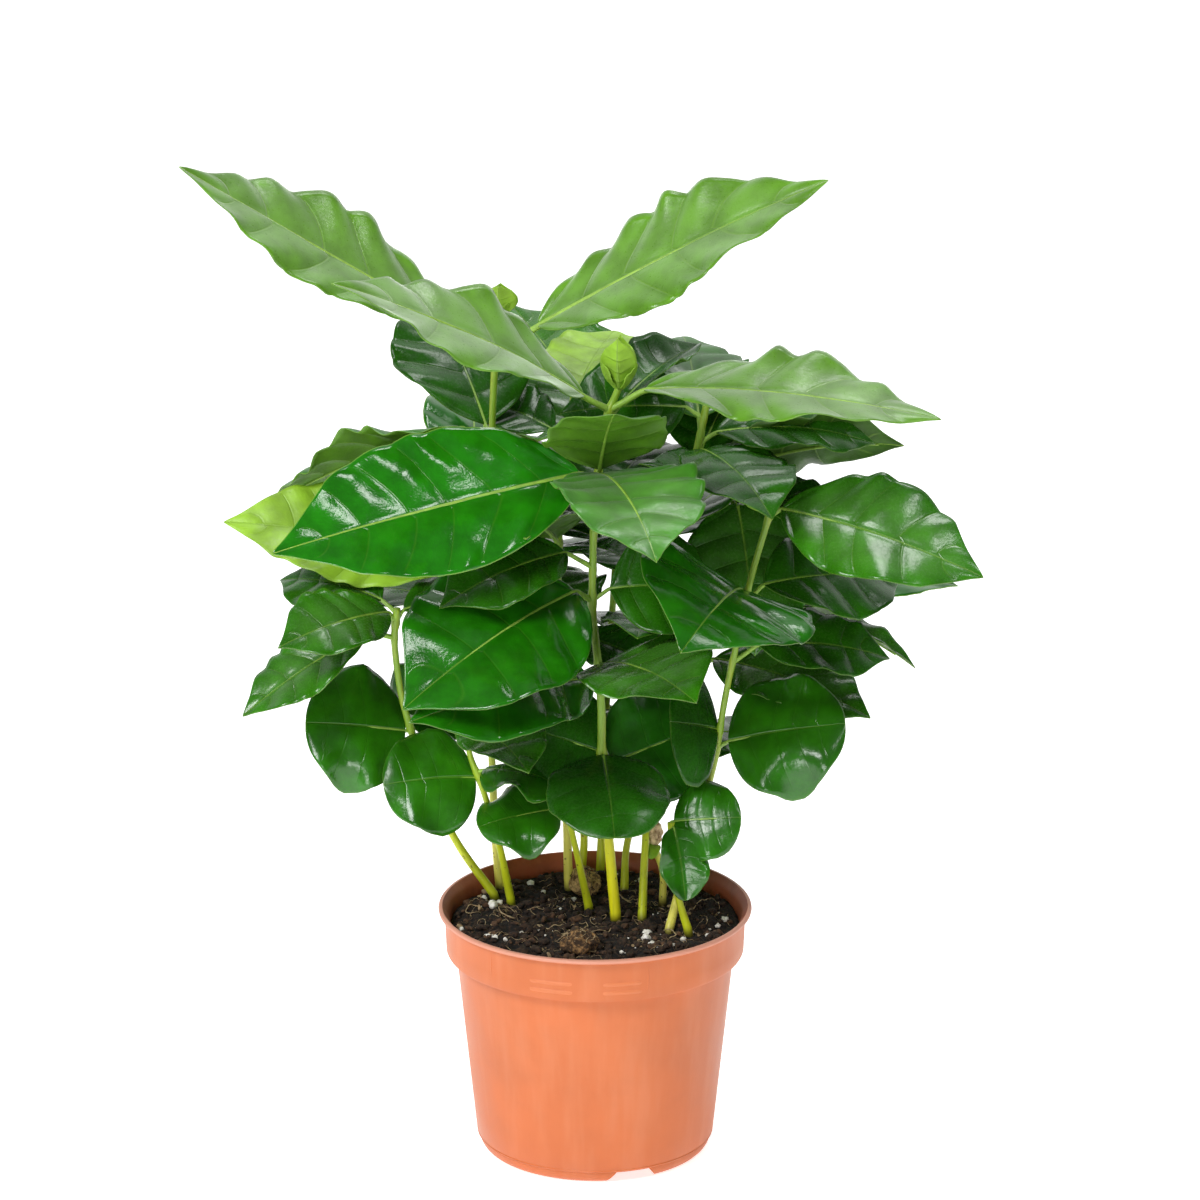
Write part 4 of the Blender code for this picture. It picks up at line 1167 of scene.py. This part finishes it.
def build_soil():
    """The filling: rings of the rough surface from the middle out, then down the wall to a flat floor."""
    wall = BAND_RADIUS - WALL
    floor = FLOOR_RISE + WALL + GAP
    rings = [((wall - 0.25) * (ring / SOIL_RINGS) ** 0.8, None) for ring in range(1, SOIL_RINGS + 1)]
    rings += [(wall - 0.9, BAND_BOTTOM + 1.5), (wall_radius(BAND_BOTTOM) - WALL - 1, BAND_BOTTOM - 2),
              (wall_radius(floor) - WALL - 1, floor + 2), (wall_radius(floor) - WALL - 4, floor)]
    points = [(0, 0, soil_height(0, 0))]
    for radius, height in rings:
        for sector in range(SOIL_SECTORS):
            x, y, _ = around(radius, 2 * math.pi * sector / SOIL_SECTORS)
            points.append((x, y, soil_height(x, y) if height is None else height))
    faces = [(0, 1 + sector, 1 + (sector + 1) % SOIL_SECTORS) for sector in range(SOIL_SECTORS)]
    faces += [(a, d, c, b) for a, b, c, d in ring_faces(len(rings), SOIL_SECTORS, first=1)]
    faces.append(tuple(range(len(points) - SOIL_SECTORS, len(points)))[::-1])
    bed = single(points, faces).piece("soil_bed", [plain_material(
        "soil", (0.003, 0.0018, 0.0012), (0.075, 0.038, 0.018), 650, 0.88, 0.0018, 0.45, 0.78)])
    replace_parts(bed, "soil")


def lumps(pile, spots, slots, seed, level, roughness):
    """Rough lumps in a pile: each spot is a centre and a size in three directions."""
    base, faces = ball(level)
    draw = random.Random(seed)
    for (centre, size), slot in zip(spots, slots):
        turn, offset = draw.uniform(0, 2 * math.pi), draw.uniform(0, 50)
        spin = np.array([around(1, turn), around(1, turn + math.pi / 2), (0, 0, 1)])
        bumps = [1 + roughness * wobble(point, 0.8, offset) + 0.5 * roughness * wobble(point, 0.35, offset)
                 for point in base]
        shaped = (base * np.array(bumps)[:, None] * np.array(size) / 2) @ spin + centre
        pile.add(shaped, faces, slot)


def in_pot(draw, reach=SOIL_REACH):
    """An even draw of a place on the soil."""
    return around(reach * math.sqrt(draw.random()), draw.uniform(0, 2 * math.pi))[:2]


def is_bare(x, y):
    """Whether a place on the soil is clear of the stems' feet and the large clods."""
    return (all(math.dist((x, y), foot) > FOOT_CLEARANCE for foot in stem_feet())
            and all(math.dist((x, y), place) > 0.45 * size[0] for place, size in LARGE_CLODS))


def build_crumbs():
    """Crumbs of peat and bark, strewn over the soil."""
    draw = random.Random(CRUMB_SEED)
    spots, slots = [], []
    low, high = CRUMB_SIZE
    for _ in range(CRUMBS):
        x, y = in_pot(draw)
        if not is_bare(x, y):
            continue
        size = low + (high - low) * draw.random() ** 3
        shape = (size * draw.uniform(0.8, 1.4), size * draw.uniform(0.6, 1), size * draw.uniform(0.5, 0.9))
        spots.append(((x, y, soil_height(x, y) + 0.2 * size), shape))
        slots.append(draw.choices((0, 1, 2), (14, 4, 1))[0])
    pile = Pile()
    lumps(pile, spots, slots, seed=CRUMB_SEED, level=2, roughness=0.55)
    piece = pile.piece("soil_crumbs", [
        plain_material("peat", (0.004, 0.0024, 0.0016), (0.050, 0.026, 0.013), 900, 0.9),
        plain_material("bark", (0.020, 0.010, 0.005), (0.12, 0.060, 0.028), 700, 0.85),
        plain_material("chaff", (0.16, 0.10, 0.05), (0.46, 0.33, 0.18), 600, 0.8),
    ])


def build_clods():
    """Two root-bound clods, in front and behind, and smaller ones strewn clear of the stems."""
    large = [((x, y, SOIL_TOP + LARGE_LIFT * size[2]), tuple(LARGE_SWELL * width for width in size))
             for (x, y), size in LARGE_CLODS]
    small = [((x, y, SOIL_TOP + CLOD_LIFT * size[2]), size) for (x, y), size in clods()[len(LARGE_CLODS):]]
    pile = Pile()
    lumps(pile, large, [0, 1], seed=3, level=5, roughness=0.30)
    lumps(pile, small, [2] * len(small), seed=4, level=4, roughness=0.5)
    piece = pile.piece("soil_clods", [
        plain_material("dark_clod", (0.035, 0.018, 0.007), (0.55, 0.30, 0.11), 420, 0.9, 0.0016, 0.45, 0.72),
        plain_material("pale_clod", (0.16, 0.085, 0.028), (0.85, 0.58, 0.24), 520, 0.9, 0.0016, 0.35, 0.65),
        plain_material("clod", (0.006, 0.0035, 0.002), (0.055, 0.030, 0.015), 800, 0.9, 0.0012),
    ])


def build_perlite():
    """White grains: large ones listed, and fine ones strewn over the soil."""
    draw = random.Random(PERLITE_SEED)
    spots = [((x, y, soil_height(x, y) + 0.3 * size), (size * draw.uniform(1.0, 1.5), 1.15 * size, size))
             for x, y, size in PERLITE]
    for _ in range(FINE_PERLITE):
        x, y = in_pot(draw)
        size = draw.uniform(0.4, 1.1)
        spots.append(((x, y, soil_height(x, y) + 0.3 * size), (size, size, size * 0.8)))
    pile = Pile()
    lumps(pile, spots, [0] * len(spots), seed=PERLITE_SEED, level=3, roughness=0.45)
    pile.piece("perlite", [
        plain_material("perlite", (0.66, 0.62, 0.52), (0.95, 0.93, 0.88), 800, 0.75, 0.0005)])


def curl(pile, draw, start, length, radius, slot, lift):
    """A fine rootlet that wanders over the soil from a point."""
    turn = draw.uniform(0, 2 * math.pi)
    bend = draw.uniform(-0.5, 0.5)
    x, y = start
    points = []
    for share in np.linspace(0, 1, CURL_STEPS + 1):
        points.append(np.array([x, y, soil_height(x, y) + 0.3 + lift * math.sin(math.pi * share)]))
        turn += bend + draw.uniform(-0.35, 0.35)
        x, y, _ = (x, y, 0) + around(length / CURL_STEPS, turn)
        if math.hypot(x, y) > FIBRE_REACH:
            turn += math.pi / 2
            x, y = points[-1][:2] * 0.98
    shares = np.linspace(0, 1, 3 * CURL_STEPS)
    smooth = [way_point(points, share) for share in shares]
    pile.add(*tube(smooth, radius * (1 - 0.7 * shares), 6), slot)


def build_fibres():
    """Rootlets and fibres on the soil, and a mat of them round each large clod."""
    draw = random.Random(FIBRE_SEED)
    pile = Pile()
    for _ in range(FIBRES):
        curl(pile, draw, in_pot(draw, FIBRE_REACH - 2), length=draw.uniform(4, 13),
             radius=draw.uniform(0.07, 0.16), slot=draw.choice((0, 1)), lift=draw.uniform(0.2, 1.4))
    for place in ROOTLET_PLACES:
        curl(pile, draw, place, length=draw.uniform(16, 26), radius=draw.uniform(0.2, 0.32), slot=1,
             lift=draw.uniform(1, 2.4))
    for (x, y), size in LARGE_CLODS:
        centre = np.array([x, y, SOIL_TOP + LARGE_LIFT * size[2]])
        for _ in range(CLOD_FIBRES):
            pole = np.array([draw.gauss(0, 1), draw.gauss(0, 1), abs(draw.gauss(0, 1))])
            pole /= np.linalg.norm(pole)
            first, second = cross_frame(pole)
            start, sweep = draw.uniform(0, 2 * math.pi), draw.uniform(0.8, 2.2)
            wide = draw.uniform(0.25, 0.75)
            points = []
            for angle in start + sweep * np.linspace(0, 1, 12):
                aside = first * math.cos(angle) + second * math.sin(angle)
                spot = pole * math.sqrt(1 - wide ** 2) + aside * wide
                points.append(centre + spot * np.array(size) / 2 * 1.12 * (1 + 0.05 * math.sin(7 * angle)))
            pile.add(*tube(points, [CLOD_FIBRE_RADIUS] * len(points), 5), draw.choice((0, 1, 1)))
    piece = pile.piece("rootlets", [
        plain_material("dark_root", (0.05, 0.028, 0.014), (0.13, 0.08, 0.04), 500, 0.8),
        plain_material("pale_root", (0.30, 0.20, 0.10), (0.52, 0.40, 0.22), 500, 0.7),
    ])


# ---- The pot.
FINE_SIDES = 176
CREASE_HEIGHT = 5.8
SEAM_BEARINGS = (227, 290.5)
SEAM_WIDTH = 0.9
SEAM_RISE = 0.22
RIB_BEARINGS = [(244, 262), (272.5, 288.5)]
RIB_PLACES = (82.8, 86.2)
RIB_HEIGHT = 1.9
RIB_RISE = 0.3


def pot_profile():
    """The pot's section with its corners rounded, from the middle of the underside round to the floor."""
    ring_outer = FOOT_RADIUS - FOOT_CORNER
    ring_inner = ring_outer - FOOT_RING
    floor = FLOOR_RISE + WALL
    inner = BAND_RADIUS - WALL
    round_off = LIP_DEPTH / 2

    def offsets(radius, height, *places):
        """Points of the section, each given by how far out and up it is from a radius and a height."""
        return [(radius + out, height + up) for out, up in places]

    points = [(0, 0)]
    points += offsets(HUB_RADIUS, 0, (-0.3, 0), (0, 0.3), (1, FLOOR_RISE - 0.3), (1.5, FLOOR_RISE))
    points += offsets(ring_inner, 0, (-1.5, FLOOR_RISE), (-0.8, FLOOR_RISE - 0.6), (0, 0.3), (0.4, 0))
    points += [(ring_outer, 0)]
    points += [(ring_outer + 0.9 * FOOT_CORNER * math.sin(turn) * 1.03, 4.6 * (1 - math.cos(turn)))
               for turn in np.radians([15, 30, 45, 60, 75, 90])]
    for height, dent in ((CREASE_HEIGHT - 0.5, 0), (CREASE_HEIGHT, 0.22), (CREASE_HEIGHT + 0.5, 0), (15, 0),
                         (30, 0), (45, 0), (60, 0), (70, 0), (BAND_BOTTOM - 1.2, 0)):
        points.append((wall_radius(height) - dent, height))
    points += offsets(wall_radius(BAND_BOTTOM), BAND_BOTTOM, (0.1, -0.5), (0.6, -0.05))
    points += offsets(BAND_RADIUS, BAND_BOTTOM, (-0.9, 0.05), (-0.35, 0.25), (0, 0.9), (0.25, 6))
    points += offsets(BAND_RADIUS, POT_HEIGHT - LIP_DEPTH, (0.55, -0.7), (0.8, -0.1))
    points += [(LIP_RADIUS + round_off * (math.cos(turn) - 1), POT_HEIGHT + round_off * (math.sin(turn) - 1))
               for turn in np.radians([-80, -55, -30, 0, 30, 55, 75, 90])]
    points += offsets(LIP_RADIUS, POT_HEIGHT, (-1.5, 0), (-1.8, -0.4))
    points += offsets(inner, POT_HEIGHT, (1.4, -2), (0.6, -3.5), (0.1, -6))
    points += [(inner - 0.4, BAND_BOTTOM + 1),
               (wall_radius(BAND_BOTTOM - STEP_DEPTH) - WALL, BAND_BOTTOM - STEP_DEPTH)]
    points += offsets(wall_radius(floor) - WALL, floor, (-1, 2), (-4, 0))
    return points + [(0, floor)]


def raised_patch(pile, bearings, heights, rise, rows, columns, ends, slot):
    """A soft raised mark on the band: a patch that swells from nothing at its edges."""
    points, faces = [], []
    for up in np.linspace(0, 1, rows + 1):
        for part in np.linspace(0, 1, columns + 1):
            height = heights[0] + (heights[1] - heights[0]) * up
            band = BAND_RADIUS + 0.6 * (height - BAND_BOTTOM) / (POT_HEIGHT - LIP_DEPTH - BAND_BOTTOM)
            swell = math.sin(math.pi * up) * min(1, ends * math.sin(math.pi * part))
            bearing = math.radians(bearings[0] + (bearings[1] - bearings[0]) * part)
            points.append(around(band - 0.12 + (rise + 0.12) * swell, bearing, height))
    for row in range(rows):
        for first in range(row * (columns + 1), row * (columns + 1) + columns):
            faces.append((first, first + 1, first + columns + 2, first + columns + 1))
    pile.add(points, faces, slot)


def build_pot():
    """The turned and cut pot, its inner wall in a darker copy of its plastic as painted shade, and the raised
    marks on its band.
    """
    plastic = pot_material("pot_plastic", (0.55, 0.150, 0.052), 0.04, pale_lip_top=0.8)
    # A darker copy of the plastic: painted shade for the inner wall and the inward slope of the lip, with
    # more dust.
    inner = pot_material("pot_inner_painted_shade", (0.34, 0.085, 0.038), 0.3)
    pot = lathe("pot_moulded", pot_profile(), FINE_SIDES, plastic)
    cutters = [notch_cutter(NOTCH_BEARING + 360 / NOTCHES * index, plastic) for index in range(NOTCHES)]
    for index in range(DRAIN_HOLES):
        middle = around(DRAIN_CIRCLE, 2 * math.pi * (index + 0.5) / DRAIN_HOLES)
        solid = tube([middle + (0, 0, 1), middle + (0, 0, 9)], [DRAIN_RADIUS] * 2, 32)
        cutters.append(new_object("drain", *solid, plastic))
    cut(pot, cutters)
    # The inner wall and the inward slope of the lip take the painted shade.
    pot.data.materials.append(inner)
    for face in pot.data.polygons:
        x, y, z = face.center / MM
        out = math.hypot(x, y)
        within = z > FLOOR_RISE + WALL / 2 and out < wall_radius(min(z, BAND_BOTTOM)) - WALL / 2
        inward = z > BAND_BOTTOM - STEP_DEPTH and face.normal.x * x + face.normal.y * y < -0.2 * out
        face.material_index = int(within or inward)
    pot.data.shade_smooth()
    pot.data.set_sharp_from_angle(angle=math.radians(38))
    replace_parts(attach(pot, "root"), "pot")
    marks = Pile()
    half = math.degrees(SEAM_WIDTH / BAND_RADIUS) / 2
    for bearing in SEAM_BEARINGS:
        raised_patch(marks, (bearing - half, bearing + half), (BAND_BOTTOM + 1.2, POT_HEIGHT - LIP_DEPTH - 1),
                     SEAM_RISE, 24, 6, 1, 0)
    for bearings in RIB_BEARINGS:
        for height in RIB_PLACES:
            raised_patch(marks, bearings, (height - RIB_HEIGHT / 2, height + RIB_HEIGHT / 2),
                         RIB_RISE, 10, 32, 3, 1)
    # The ribs take a lighter copy of the plastic: a painted highlight along them.
    marks.piece("pot_marks", [plastic, pot_material("pot_rib_painted_highlight", (0.60, 0.180, 0.070), 0)])


# ---- The studio.
FLOOR_HALF = 6000
FLOOR_COLOUR = (0.92, 0.92, 0.92)
FLOOR_GLOW = 0.75
SKY_DIM = 0.15
SKY_BACK = 1.0
AIM = (0, 0, 0.2)
LIGHTS = [
    dict(name="key", azimuth=-132, rise=42, distance=1.9, size=(0.8, 0.6), power=28),
    dict(name="flash", azimuth=-52, rise=54, distance=1.7, size=(0.38, 0.28), power=5),
    dict(name="low", azimuth=-104, rise=8, distance=1.9, size=(0.6, 0.4), power=8),
    dict(name="top", azimuth=65, rise=68, distance=1.6, size=(0.6, 0.5), power=9),
]


def build_camera():
    """A long lens at the camera's place, tipped down."""
    data = bpy.data.cameras.new("camera")
    data.lens = CAMERA_LENS
    data.sensor_width = 36
    data.clip_start = 0.1
    data.clip_end = 50
    camera = linked("camera", data)
    camera.location = CAMERA_PLACE
    camera.rotation_euler = (math.radians(90 - CAMERA_PITCH), 0, 0)
    bpy.context.scene.camera = camera


def build_studio():
    """A sky brighter behind, four soft lights and a white floor that glows a little."""
    sky = Paint(bpy.data.worlds.new("studio"), "Background")
    backward = sky.parts(sky.add("TexCoord", {})["Generated"])[1]
    sky.put(sky.shader, {"Color": colour((1, 1, 1)),
                         "Strength": sky.ramp(backward, 0.15, 0.85, SKY_DIM, SKY_BACK)})
    bpy.context.scene.world = sky.owner
    bpy.context.scene.view_settings.view_transform = "Standard"
    for light in LIGHTS:
        data = bpy.data.lights.new(light["name"], "AREA")
        data.shape = "RECTANGLE"
        data.size, data.size_y = light["size"]
        data.energy = light["power"]
        lamp = linked(light["name"], data)
        away = Vector(heading(light["azimuth"], light["rise"]))
        lamp.location = Vector(AIM) + away * light["distance"]
        lamp.rotation_euler = (-away).to_track_quat("-Z", "Y").to_euler()
    paint = Paint(bpy.data.materials.new("floor"))
    paint.put(paint.shader, {"Base Color": colour(FLOOR_COLOUR), "Roughness": 0.9,
                             "Emission Color": colour(FLOOR_COLOUR), "Emission Strength": FLOOR_GLOW})
    corners = [(x * FLOOR_HALF, y * FLOOR_HALF, 0) for x, y in ((-1, -1), (1, -1), (1, 1), (-1, 1))]
    floor = linked("floor", mesh_of("floor", corners, [(0, 1, 2, 3)], [paint.owner]))


build_camera()
build_pot()
build_soil()
build_crumbs()
build_clods()
build_perlite()
build_fibres()
build_sprout()
build_plants()
build_studio()
